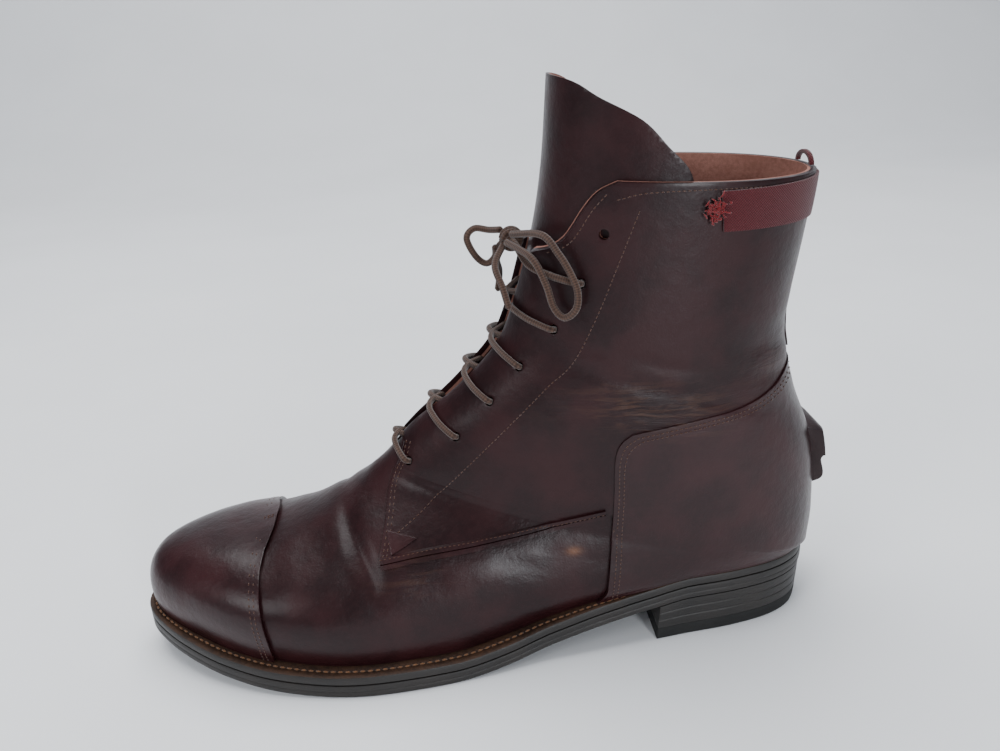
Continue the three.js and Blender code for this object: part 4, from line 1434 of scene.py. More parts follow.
LACE_CLOTH = Woven("lace_cloth", (0.085, 0.046, 0.032), (0.030, 0.016, 0.012), along_uv=True)
DARK_THREAD = Woven("seam_thread", (0.110, 0.046, 0.026), (0.045, 0.018, 0.011), thread=0.3)
WELT_THREAD = Woven("welt_thread", (0.25, 0.115, 0.048), (0.10, 0.042, 0.02), thread=0.3)


class Wardrobe:
    """Paints each finish once and hands it out."""

    def __init__(self) -> None:
        """Starts with nothing painted."""
        self.made: dict[str, bpy.types.Material] = {}

    def __getitem__(self, finish: Union[Leather, RawLeather, Woven]) -> bpy.types.Material:
        """The material of a finish."""
        if finish.name not in self.made:
            self.made[finish.name] = finish.paint()
        return self.made[finish.name]


PAINTS = Wardrobe()


# Camera, floor and lights


@dataclass(frozen=True)
class Viewpoint:
    """Where the photograph was taken from, in metres and degrees."""

    place: tuple[float, float, float] = (0.11816, 0.34005, 0.26109)
    turn: float = 3.35
    tilt: float = 22.94
    roll: float = -3.0
    lens: float = 31.32

    def build(self) -> None:
        """Makes the camera."""
        turn, tilt, roll = (math.radians(angle) for angle in (self.turn, self.tilt, self.roll))
        ahead = Vector((
            -math.sin(turn) * math.cos(tilt), -math.cos(turn) * math.cos(tilt), -math.sin(tilt)
        ))
        level = ahead.cross(Vector((0, 0, 1))).normalized()
        rise = level.cross(ahead)
        right = level * math.cos(roll) + rise * math.sin(roll)
        up = rise * math.cos(roll) - level * math.sin(roll)
        data = bpy.data.cameras.new("photo_camera")
        data.lens, data.sensor_width = self.lens, 36.0
        data.clip_start, data.clip_end = 0.01, 50.0
        camera = bpy.data.objects.new("photo_camera", data)
        camera.matrix_world = (
            Matrix.Translation(self.place) @ Matrix((right, up, -ahead)).transposed().to_4x4()
        )
        bpy.context.scene.collection.objects.link(camera)
        bpy.context.scene.camera = camera


@dataclass(frozen=True)
class SoftBox:
    """One large soft light: its place, size, power and tint."""

    name: str
    place: tuple[float, float, float]
    size: tuple[float, float]
    power: float
    tint: Colour = (1.0, 1.0, 1.0)

    def build(self) -> None:
        """Makes the light and turns it to the boot."""
        data = bpy.data.lights.new(self.name, "AREA")
        data.shape, data.size, data.size_y = "RECTANGLE", *self.size
        data.energy, data.color = self.power, self.tint
        light = bpy.data.objects.new(self.name, data)
        light.location = self.place
        aim = Vector((0.1, 0.0, 0.08)) - Vector(self.place)
        light.rotation_euler = aim.to_track_quat("-Z", "Y").to_euler()
        bpy.context.scene.collection.objects.link(light)


@dataclass(frozen=True)
class Studio:
    """A pale sweep under the boot and soft light from above and in front."""

    paper: Colour = (0.93, 0.935, 0.95)
    sweep_radius: float = 0.7
    rear: float = -1.1
    boxes: tuple[SoftBox, ...] = (
        SoftBox("overhead", (0.2, -0.3, 1.7), (1.5, 1.5), 40.0, (0.97, 0.985, 1.0)),
        SoftBox("window", (-0.42, 1.45, 0.42), (0.3, 0.4), 13.0, (0.92, 0.96, 1.0)),
        SoftBox("side_fill", (1.3, 1.0, 0.9), (0.7, 0.7), 9.0, (0.97, 0.98, 1.0)),
    )

    def build(self) -> None:
        """Makes the sweep, the world and the lights."""
        world = bpy.data.worlds.new("room")
        world.use_nodes = True
        sky = world.node_tree.nodes["Background"]
        sky.inputs["Color"].default_value = (0.80, 0.88, 1.0, 1.0)
        sky.inputs["Strength"].default_value = 0.26
        bpy.context.scene.world = world
        for box in self.boxes:
            box.build()
        turns = np.linspace(0, np.pi / 2, 24)
        curve = [(3.0, 0.0)] + [
            (self.rear - self.sweep_radius * math.sin(t), self.sweep_radius * (1 - math.cos(t)))
            for t in turns
        ] + [(self.rear - self.sweep_radius, 3.5)]
        bm = bmesh.new()
        line = [bm.verts.new((-15.0, y, z)) for y, z in curve]
        edges = [bm.edges.new(pair) for pair in zip(line[:-1], line[1:])]
        out = bmesh.ops.extrude_edge_only(bm, edges=edges)
        moved = [item for item in out["geom"] if isinstance(item, bmesh.types.BMVert)]
        bmesh.ops.translate(bm, verts=moved, vec=(30.0, 0, 0))
        for face in bm.faces:
            face.smooth = True
        bmesh.ops.recalc_face_normals(bm, faces=bm.faces)
        sweep = object_of("sweep", bm)
        paper = Surface("paper")
        mottle = paper.step(paper.noise(160, 3), 0.3, 0.7)
        colour = paper.blend(mottle, self.paper, tuple(tone * 0.97 for tone in self.paper))
        sweep.data.materials.append(paper.finished(Base_Color=colour, Roughness=0.9))


# Sub-assemblies


def layer(
    name: str, low: float, high: float, rows: tuple[float, float] = (COLLAR_ROW, TIP_ROW),
    tall: bool = False,
) -> bpy.types.Object:
    """Leather between two offsets of the skin, before it is cut to its pattern.

    Args:
        name: the piece's name.
        low: offset of its inner face in millimetres.
        high: offset of its outer face.
        rows: the first and last section that it needs.
        tall: whether it reaches above the collar.

    Returns:
        The piece.
    """
    outer, inner = (TALL_OUTER, TALL_INNER) if tall else (OUTER, INNER)
    forms = []
    for lattice, offset, spare, lift in ((outer, high, 0.0, 0.0), (inner, low, 0.4, 8.0)):
        inside = (lattice.rows >= rows[0] - spare) & (lattice.rows <= rows[1] + spare)
        places = lattice.grown(offset, lift)[inside]
        forms.append(closed_form(name, places))
    return cut(forms[0], forms[1], Cut.OUTSIDE)


def standing() -> bpy.types.Object:
    """Everything above the welt.

    Returns:
        The cutter.
    """
    x = np.linspace(-0.05, 1.05, 60) * SIZES.length
    floor = np.stack([x, SOLE.welt_top(np.clip(x, 0, SIZES.length)) + SIZES.gap], axis=1)
    high = 2 * SIZES.collar
    return side_slab("above_welt", np.concatenate([floor, [[x[-1], high], [x[0], high]]]), step=0)


def throat() -> bpy.types.Object:
    """The opening between the facings, as a cutter pushed from front to back.

    Returns:
        The cutter.
    """
    rows = np.array([(0.445, 1.6), (0.5, 2.6), (0.545, 4.6), (0.6, 6.4), (0.715, 8.4), (0.815, 9.5),
                     (0.9, 11.0)]) * [SIZES.collar, 1.0]
    edge = smooth_line(rows, 3.0)
    near = np.stack([0 * edge[:, 0] + 0.35 * SIZES.length, edge[:, 1], edge[:, 0]], axis=1)
    far = near[::-1] * [1, -1, 1]
    return prism("throat", np.concatenate([near, far]), (0.3 * SIZES.length, 0, 0))


HOLES = sized((
    (0.5894, 0.4256), (0.5238, 0.4906), (0.4736, 0.568), (0.432, 0.6384), (0.3888, 0.7177),
    (0.3528, 0.8089), (0.3274, 0.904),
))
HOLE_SPOTS = {side: [SKIN.find(x, z, side) for x, z in HOLES] for side in BOTH}


def punches() -> bpy.types.Object:
    """The round punches of every lace hole, joined.

    Returns:
        The cutter.
    """
    bm = bmesh.new()
    for side in BOTH:
        for row, share in HOLE_SPOTS[side]:
            place, normal = SKIN.at(row, share, side, 0.0)
            turn = Vector(normal).to_track_quat("Z", "Y").to_matrix().to_4x4()
            bmesh.ops.create_cone(
                bm, cap_ends=True, segments=20, radius1=SIZES.hole / 2 * MM,
                radius2=SIZES.hole / 2 * MM, depth=6 * SIZES.wall * MM,
                matrix=Matrix.Translation(to_frame(place)) @ turn,
            )
    return object_of("punches", bm)


COLLAR_CORNER = sized((
    (0.277, 1.02), (0.29, 1.008), (0.309, 0.995), (0.333, 0.976), (0.349, 0.947), (0.364, 0.909),
    (0.373, 0.889), (0.386, 0.872), (0.403, 0.86), (0.429, 0.847), (0.545, 0.847),
))
COLLAR_BACK = sized(((0.545, 0.847), (0.545, 1.232), (0.277, 1.232), (0.277, 1.02)))
QUARTER_FOOT = sized((
    (-0.05, 0.345), (0.15, 0.345), (0.297, 0.332), (0.327, 0.323), (0.419, 0.294), (0.503, 0.28),
    (0.578, 0.271), (0.643, 0.257),
))
QUARTER_FRONT = sized((
    (0.643, 0.257), (0.636, 0.295), (0.63, 0.329), (0.625, 0.364), (0.617, 0.394), (0.605, 0.427),
    (0.597, 0.458),
))
COUNTER = sized((
    (0.329, 0.059), (0.329, 0.153), (0.324, 0.233), (0.32, 0.311), (0.318, 0.379), (0.317, 0.449),
    (0.311, 0.485), (0.298, 0.504), (0.284, 0.511), (0.204, 0.529), (0.147, 0.537), (0.108, 0.552),
    (0.073, 0.571), (0.026, 0.596), (-0.05, 0.626), (-0.05, 0.059),
))
TOE_SEAM = sized((
    (0.795, 0.369), (0.797, 0.276), (0.805, 0.261), (0.808, 0.244), (0.807, 0.214), (0.804, 0.169),
    (0.8, 0.124), (0.798, 0.071), (0.797, 0.0),
))
TONGUE = sized((
    (0.446, 1.177), (0.389, 1.172), (0.356, 1.16), (0.329, 1.134), (0.281, 1.094), (0.251, 1.047),
    (0.228, 1.01), (0.221, 0.975), (0.228, 0.916), (0.264, 0.808), (0.32, 0.68), (0.403, 0.552),
    (0.495, 0.458), (0.594, 0.389), (0.637, 0.355), (0.673, 0.355), (0.673, 0.468), (0.528, 0.69),
    (0.446, 1.177),
))
STRIP_FOOT = sized(((0.33, 0.322), (0.419, 0.293), (0.503, 0.279), (0.578, 0.27), (0.639, 0.257)))
FACING_SEAM = np.array([
    (189.3, 60), (171.8, 70.8), (153.9, 88.1), (132.6, 110.4), (121.3, 122.6), (110.7, 133.9),
    (101.1, 154), (93.7, 173.2), (86.8, 191.5),
])
BACK_LINE = float(swing(0.035 * SIZES.length))


def wear_marks(piece: bpy.types.Object) -> bpy.types.Object:
    """Stores where a piece of the upper is creased brown and where it is scuffed.

    Args:
        piece: The piece to work on.

    Returns:
        The piece.
    """
    places = places_of(piece)
    x, y, z = places.T
    outer = smoothstep(y, -4, 8) * 0.75 + 0.25
    across = (z - 112.5 - 0.12 * (x - 75)) / 9.5
    ankle = np.exp(-(((x - 80) / 30) ** 2) - across ** 2) * smoothstep(x, 28, 48)
    fold = 0.55 * np.exp(-(((x - 178) / 17) ** 2) - ((z - 49) / 7) ** 2)
    heel = 0.35 * np.exp(-(((x - 28) / 18) ** 2) - ((z - 124) / 10) ** 2)
    set_attribute(piece, "wear", np.clip((ankle + fold + heel) * outer, 0, 1))
    spot = ((x - 113.4) / 2.8) ** 2 + ((z - 50.9) / 1.7) ** 2
    set_attribute(piece, "scuff", 0.6 * np.exp(-spot) * smoothstep(y, 0, 10))
    return piece


@dataclass
class Uppers:
    """The vamp, the quarters, the lining and the tongue."""

    lining_low: float = -SIZES.wall
    split: float = -1.1
    quarter_low: float = -0.5
    quarter_high: float = SIZES.quarter_step
    tongue_high: float = -(SIZES.wall + SIZES.gap)
    soften: float = 0.28

    def _open(self, piece: bpy.types.Object) -> bpy.types.Object:
        """Cuts the collar's corner, the throat, the lace holes and the foot.

        Args:
            piece: The piece to work on.

        Returns:
            The piece.
        """
        cut(piece, standing(), Cut.INSIDE)
        cut(piece, side_slab("collar_corner", joined(COLLAR_CORNER, COLLAR_BACK), step=0), Cut.OUTSIDE)
        cut(piece, throat(), Cut.OUTSIDE)
        return cut(piece, punches(), Cut.OUTSIDE)

    def build(self) -> list[bpy.types.Object]:
        """Makes and dresses the pieces.

        Returns:
            The pieces.
        """
        vamp = self._open(layer("upper_vamp", self.split, 0.0))
        quarters = layer("upper_quarters", self.quarter_low, self.quarter_high, (COLLAR_ROW, 13))
        box = sized(((0.597, 0.458), (0.597, 1.3), (-0.06, 1.3), (-0.06, 0.345)))
        outline = np.concatenate([joined(QUARTER_FOOT, QUARTER_FRONT), box[1:]])
        cut(quarters, side_slab("quarter", outline, step=0), Cut.INSIDE)
        self._open(quarters)
        lining = self._open(layer("upper_lining", self.lining_low, self.split + 0.02))
        for piece in (vamp, quarters):
            finish_edges(piece, self.soften)
            settle(wear_marks(piece), PAINTS[OXBLOOD], ["upper"])
        finish_edges(lining)
        settle(lining, PAINTS[LINING], ["upper"])
        return [vamp, quarters, lining, *self.tongue()]

    def tongue(self) -> list[bpy.types.Object]:
        """The tongue's outer leather and its lining.

        Returns:
            Both pieces.
        """
        pieces = []
        low = self.tongue_high - SIZES.tongue
        middle = self.tongue_high - 1.2
        for name, bottom, top, finish, slot in (
            ("tongue_outer", middle, self.tongue_high, OXBLOOD, "oxblood_leather"),
            ("tongue_lining", low, middle + 0.02, LINING, "insole_leather"),
        ):
            piece = layer(name, bottom, top, (0.0, 12.0), tall=True)
            cut(piece, side_slab("tongue", joined(TONGUE[:-1], TONGUE[-2:]), step=0), Cut.INSIDE)
            finish_edges(piece, 0.2 if top == self.tongue_high else 0.0)
            wear_marks(piece)
            pieces.append(settle(piece, PAINTS[finish], ["tongue"]))
        return pieces


@dataclass
class Overlays:
    """Everything laid on the upper: cap, counter, strips, tabs, stay and spur rest."""

    overlay_high: float = SIZES.gap + SIZES.overlay
    counter_high: float = 2 * SIZES.gap + SIZES.overlay
    soften: float = 0.35
    strip_height: float = 3.4
    stay_width: float = 11.0
    spur_width: float = 30.0
    spur_reach: float = 5.5

    def _overlay(
        self, name: str, low: float, high: float, rows: tuple[float, float], outline: Array,
        across: tuple[float, float] = (-110.0, 110.0), soften: Optional[float] = None,
    ) -> bpy.types.Object:
        """One overlay cut to a side view.

        Args:
            name: The new object's name.
            low: The height of its underside over the skin.
            high: The height of its top over the skin.
            rows: The first and last row that it covers.
            outline: The closed side view.
            across: The cutter's reach across the boot.
            soften: The bevel's width, if not the usual one.

        Returns:
            The piece.
        """
        piece = layer(name, low, high, rows)
        cut(piece, side_slab(name + "_pattern", outline, *across, step=0), Cut.INSIDE)
        cut(piece, standing(), Cut.INSIDE)
        finish_edges(piece, self.soften if soften is None else soften)
        return wear_marks(piece)

    def build(self) -> list[bpy.types.Object]:
        """Makes and dresses the pieces.

        Returns:
            The pieces.
        """
        paint, slot = PAINTS[CAP], "cap_leather"
        ahead = sized(((1.089, 0.0), (1.089, 0.369)))
        seam = np.concatenate([smooth_line(TOE_SEAM, 2.0), ahead])
        cap = self._overlay("toe_cap_leather", -0.4, self.overlay_high, (12, TIP_ROW), seam)
        counter = self._overlay(
            "heel_counter_leather", -0.2, self.counter_high, (4, 13), smooth_line(COUNTER, 2.0, True)
        )
        pieces = [
            settle(cap, paint, ["toe_cap"]), settle(counter, paint, ["heel_counter"]),
        ]
        paint, slot = PAINTS[OXBLOOD], "oxblood_leather"
        for side, across in ((Side.LATERAL, (0.0, 110.0)), (Side.MEDIAL, (-110.0, 0.0))):
            name = f"quarter_strip_{side.name.lower()}"
            ridges = []
            for low, high in ((0.0, 0.44), (0.56, 1.0)):
                foot = smooth_line(STRIP_FOOT, 2.5) + [0, self.strip_height * low]
                top = smooth_line(STRIP_FOOT, 2.5) + [0, self.strip_height * high]
                ridges.append(self._overlay(
                    name, 0.6, 2.5, (6, 13), np.concatenate([foot, top[::-1]]), across, 0.3
                ))
            strip = combined(name + "_leather", ridges)
            finish_edges(wear_marks(strip))
            pieces.append(settle(strip, paint, [name]))
        tab = np.array([(190.3, 64.0), (178.0, 61.7), (188.9, 56.6)])
        tabs = self._overlay("corner_tabs", 0.6, 1.75, (7, 13), joined(tab[:2], tab[1:], tab[[2, 0]]))
        pieces.append(settle(tabs, PAINTS[CAP]))
        half = self.stay_width / 2
        stay = sized(((0.099, 0.6), (0.099, 0.875), (-0.05, 0.875), (-0.05, 0.6)))
        stay = self._overlay(
            "back_stay_leather", 0.6, 2.5, (COLLAR_ROW, 7), stay, (BACK_LINE - half, BACK_LINE + half)
        )
        pieces.append(settle(stay, paint, ["back_stay"]))
        half = self.spur_width / 2
        ledge = smooth_line(sized((
            (0.066, 0.415), (0.0, 0.415), (-0.017, 0.391), (-0.02, 0.372), (-0.015, 0.355),
            (-0.005, 0.347), (-0.005, 0.296), (0.066, 0.296),
        )), 1.0, True)
        spur = self._overlay(
            "spur_ledge", 1.7, 2.2 + self.spur_reach, (4, 10), ledge,
            (BACK_LINE - half, BACK_LINE + half), 0.9,
        )
        pieces.append(settle(spur, paint, ["spur_rest"]))
        return pieces


@dataclass
class PullTab:
    """The woven band round the back of the collar, its frayed end and the loop above it."""

    thickness: float = 0.9
    loop_width: float = 15.0
    loop_rise: float = 5.0
    strap: float = 1.6
    tufts: int = 150

    def build(self) -> list[bpy.types.Object]:
        """Makes and dresses the pieces.

        Returns:
            The pieces.
        """
        outline = sized(((0.191, 0.97), (0.186, 0.897), (-0.05, 0.884), (-0.05, 0.965)))
        band = layer("woven_band", 1.0, 1.5 + self.thickness, (COLLAR_ROW, 5))
        cut(band, side_slab("band", outline, step=0), Cut.INSIDE)
        finish_edges(band, 0.3)
        settle(band, PAINTS[RED_CLOTH], ["pull_band"])
        return [band, self.fray(), self.loop()]

    def fray(self) -> bpy.types.Object:
        """The bright threads worked loose at the band's lateral front end.

        Returns:
            The piece.
        """
        random = np.random.default_rng(7)
        middle, normal = SKIN.place(np.array([[60.5, 190.5]]), Side.LATERAL, 2.6)
        parts = []
        for _ in range(self.tufts):
            start = middle[0] + random.normal(0, 1, 3) * [1.7, 0.3, 1.9]
            way = random.normal(0, 1, 3) * [1.0, 0.35, 1.0] + normal[0] * 0.35
            bend = random.normal(0, 0.5, 3) * [1.0, 0.3, 1.0]
            size = random.uniform(0.5, 1.3)
            line = np.array([
                start + way * size * t + bend * t * t + normal[0] * 0.7 * math.sin(math.pi * t)
                for t in np.linspace(0, 1, 5)
            ])
            parts.append(tube("tuft", line, 0.28, sides=5))
        piece = combined("band_fray", parts)
        return settle(piece, PAINTS[FRAY])

    def loop(self) -> bpy.types.Object:
        """The short loop above the collar's back.

        Returns:
            The piece.
        """
        turns = np.linspace(0, np.pi, 25)
        rings = []
        depth = SIZES.wall - SIZES.gap
        x = float(UPPER.back_x(COLLAR_ROW)) + SIZES.gap
        base = SIZES.collar_back
        thick = self.strap
        for t in turns:
            rings.append([
                (x + u * depth, BACK_LINE + (self.loop_width / 2 - w) * math.cos(t),
                 base + 0.6 + (self.loop_rise - w) * math.sin(t))
                for u, w in (
                    (0, 0.2), (0.15, 0), (0.85, 0), (1, 0.2),
                    (1, thick - 0.2), (0.85, thick), (0.15, thick), (0, thick - 0.2),
                )
            ])
        piece = closed_form("collar_loop", np.array(rings))
        finish_edges(piece)
        return settle(piece, PAINTS[RED_CLOTH], ["pull_loop"])


@dataclass
class Soles:
    """Outsole, welt, heel, top piece and insole."""

    stations: int = 150
    round: float = 1.0
    lift: float = 4.4
    groove: float = 0.28
    top_piece: float = SIZES.top_piece
    welt_pitch: float = 3.1

    def plate(
        self, name: str, corners: Sequence[tuple[Callable, Callable]], past: float = 1.0
    ) -> bpy.types.Object:
        """A plate whose edge section is a list of insets and heights, as functions of x.

        Args:
            name: The new object's name.
            corners: Inset and height of each corner.
            past: The last station, as a share of the sole's turn.

        Returns:
            The piece.
        """
        rings = []
        for turn in np.linspace(0, past, self.stations):
            ring = []
            for side in BOTH:
                half = []
                base = SOLE.edge(turn, side, 0.0)[0]
                for inset, height in corners:
                    point = SOLE.edge(turn, side, float(inset(base[0])))[0]
                    half.append((point[0], point[1], float(height(point[0]))))
                ring += half if side is Side.LATERAL else half[::-1]
            rings.append(ring)
        return closed_form(name, np.array(rings))

    def outsole(self) -> bpy.types.Object:
        """The outsole, with a rounded, finely channelled edge.

        Returns:
            The piece.
        """
        top, under, edge = SOLE.outsole_top, SOLE.underside, self.round
        corners = [(lambda x, r=r: r, lambda x, h=h: under(x) + h) for r, h in (
            (30.0, 0.0), (8.0, 0.0), (edge, 0.0), (0.3, 0.3), (0.0, edge), (0.0, 2.6), (0.16, 2.9),
            (0.0, 3.2), (0.0, SIZES.outsole - 0.8), (0.2, SIZES.outsole - 0.25),
        )]
        corners.append((lambda x: 0.7, top))
        corners.append((lambda x: 12.0, top))
        piece = self.plate("sole_leather_plate", corners)
        finish_edges(piece)
        return settle(piece, PAINTS[SOLE_EDGE], ["outsole"])

    def welt(self) -> bpy.types.Object:
        """The welt, a closed strip with a stitch groove along its top.

        Returns:
            The piece.
        """
        top = SOLE.welt_top

        def low(x: float) -> float:
            """Height of the welt's underside."""
            return SOLE.outsole_top(x) + SIZES.gap

        def inner(x: float) -> float:
            """Inset of the welt's inner edge."""
            return SOLE.feather_inset(x) + SIZES.welt_reach - 7.0

        section = [
            (lambda x: 0.6, low), (lambda x: 0.15, lambda x: low(x) + 0.25),
            (lambda x: 0.0, lambda x: low(x) + 0.7), (lambda x: 0.0, lambda x: top(x) - 1.0),
            (lambda x: 0.3, lambda x: top(x) - 0.3), (lambda x: 1.0, top),
            (lambda x: 0.42 * float(SOLE.feather_inset(x)), top),
            (lambda x: 0.56 * float(SOLE.feather_inset(x)), lambda x: top(x) - 0.45),
            (lambda x: 0.70 * float(SOLE.feather_inset(x)), top),
            (inner, top), (inner, low),
        ]
        rings = []
        count = 2 * self.stations
        for i in range(count + 1):
            turn, side = (i / self.stations, Side.LATERAL) if i <= self.stations else (
                2 - i / self.stations, Side.MEDIAL)
            base = float(SOLE.edge(turn, side, 0.0)[0][0])
            ring = []
            for inset, height in section:
                point = SOLE.edge(turn, side, float(inset(base)))[0]
                ring.append((point[0], point[1], float(height(point[0]))))
            rings.append(ring)
        piece = closed_form("welt_strip", np.array(rings))
        finish_edges(piece)
        mesh = piece.data
        places = places_of(piece)
        settle(piece, PAINTS[SOLE_EDGE], ["welt"])
        mesh.materials.append(PAINTS[WELT_TOP])
        for face in mesh.polygons:
            middle = places[list(face.vertices)].mean(axis=0)
            if face.normal.z > 0.6 and middle[2] > SOLE.welt_top(middle[0]) - 0.9:
                face.material_index = 1
        return piece

    def welt_stitches(self) -> bpy.types.Object:
        """The stitches that show along the welt in front of the heel.

        Returns:
            The piece.
        """
        runs = []
        first = SOLE.turn_at(0.3 * SIZES.length)
        for side in BOTH:
            turns = np.linspace(first, 1.0, 400)
            base = SOLE.edge(turns, side, 0.0)
            line = SOLE.edge(turns, side, 0.56 * SOLE.feather_inset(base[:, 0]))
            line = np.column_stack([line, SOLE.welt_top(line[:, 0]) - 0.1])
            places = evenly(line, self.welt_pitch)
            runs.append((places, np.tile([0.0, 0.0, 1.0], (len(places), 1))))
        piece = stitches("welt_stitches", runs, 2.5, 0.5)
        return settle(piece, PAINTS[WELT_THREAD])

    def heel(self) -> list[bpy.types.Object]:
        """The stacked heel and the rubber top piece under it.

        Returns:
            Both pieces.
        """
        past = SOLE.turn_at(SIZES.heel_length + 4)
        reach, tall = SIZES.heel_length, 2 * SIZES.heel_height
        breast = np.array([(-reach, -1.0), (reach, -1.0), (reach - 2, tall), (-reach, tall)])

        def inset(height: float) -> float:
            """Inset of the tapered stack's edge at a height."""
            return 0.4 + SIZES.heel_taper * (1 - height / SIZES.heel_height)

        pieces = []
        bottom = SIZES.top_piece + SIZES.gap
        ends = SIZES.heel_height - SIZES.gap
        stack = [(bottom, 0.0)]
        for seam in np.arange(bottom + self.lift, ends - 1.0, self.lift):
            stack += [(seam - 0.35, 0.0), (seam, self.groove), (seam + 0.35, 0.0)]
        under = SOLE.underside

        def share(height: float) -> float:
            """Share of the way up the stack."""
            return (height - bottom) / (ends - bottom)

        corners = [
            (lambda x, h=h, g=g: inset(h) + g,
             lambda x, h=h: bottom + (float(under(x)) - SIZES.gap - bottom) * share(h))
            for h, g in [*stack, (ends, 0.0)]
        ]
        rubber = [
            (lambda x, h=h, r=r: inset(h) + r, lambda x, h=h: h)
            for h, r in (
                (0.0, 0.5), (0.5, 0.05), (1.2, 0.0), (self.top_piece - 0.5, 0.0), (self.top_piece, 0.2)
            )
        ]
        for name, rows, finish, slot, node in (
            ("heel_lifts", corners, SOLE_EDGE, "sole_leather", "heel_stack"),
            ("heel_rubber_piece", rubber, RUBBER, "heel_rubber", "heel_top_piece"),
        ):
            piece = self.plate(name, rows, past)
            cut(piece, side_slab("breast", breast, step=0), Cut.INSIDE)
            finish_edges(piece, 0.25)
            pieces.append(settle(piece, PAINTS[finish], [node]))
        return pieces

    def insole(self) -> bpy.types.Object:
        """The insole inside the upper, with the rib that fills the welt.

        Returns:
            The piece.
        """
        top = SOLE.welt_top

        def rib(x: float) -> float:
            """Inset of the rib that fills the welt."""
            return float(SOLE.feather_inset(x)) + SIZES.welt_reach - 7.0 + SIZES.gap

        def board(x: float) -> float:
            """Inset of the board above the rib."""
            return float(SOLE.feather_inset(x)) + 2 * SIZES.wall + 2 * SIZES.gap

        piece = self.plate("sock_board", [
            (rib, lambda x: SOLE.outsole_top(x) + SIZES.gap), (rib, lambda x: top(x) + SIZES.gap),
            (board, lambda x: top(x) + SIZES.gap),
            (board, lambda x: top(x) + SIZES.gap + SIZES.insole - 0.5),
            (lambda x: board(x) + 0.5, lambda x: top(x) + SIZES.gap + SIZES.insole),
        ])
        finish_edges(piece)
        return settle(piece, PAINTS[SOCK], ["insole"])

    def build(self) -> list[bpy.types.Object]:
        """Makes and dresses the pieces."""
        return [self.outsole(), self.welt(), self.welt_stitches(), *self.heel(), self.insole()]


@dataclass
class Seams:
    """Sewn rows over the upper."""

    pitch: float = 1.9
    length: float = 1.45
    radius: float = 0.24
    strip_row: float = 1.7

    def rows(self) -> list[tuple[Array, float]]:
        """The side view of each row with the height of the leather that it holds.

        Returns:
            Each row with its height over the skin.
        """
        quarter = SIZES.quarter_step
        overlay = SIZES.gap + SIZES.overlay
        counter = overlay + SIZES.gap
        front = smooth_line(QUARTER_FRONT, 1.0)
        cap = smooth_line(TOE_SEAM[1:-1], 1.0)
        shield = smooth_line(COUNTER[:14], 1.0)
        shield = shield[shield[:, 0] > 6]
        strip = smooth_line(STRIP_FOOT, 1.0)
        collar = smooth_line(COLLAR_CORNER[3:9], 1.0)
        rim = smooth_line([(95, 195.2), (84, 197.6), (64, 197.7), (40, 196.6), (16, 194.6)], 1.0)
        return [
            (front + [-1.9, 0.2], quarter), (front + [-3.5, 0.4], quarter),
            (smooth_line(FACING_SEAM, 1.0), quarter),
            (cap + [2.1, 0], overlay), (cap + [4.0, 0], overlay),
            (shield + [-2.1, -1.6], counter), (shield + [-4.0, -3.2], counter),
            (strip + [0, self.strip_row], quarter + 1.1),
            (collar + [-3.2, -0.6], quarter), (rim, quarter),
        ]

    def build(self) -> list[bpy.types.Object]:
        """Sews the rows on both sides.

        Returns:
            The pieces.
        """
        runs = []
        for line, lift in self.rows():
            for side in BOTH:
                places, normals = SKIN.place(evenly(line, self.pitch), side, lift + 0.04)
                runs.append((places, normals))
        piece = stitches("seam_stitches", runs, self.length, self.radius)
        return [settle(piece, PAINTS[DARK_THREAD])]


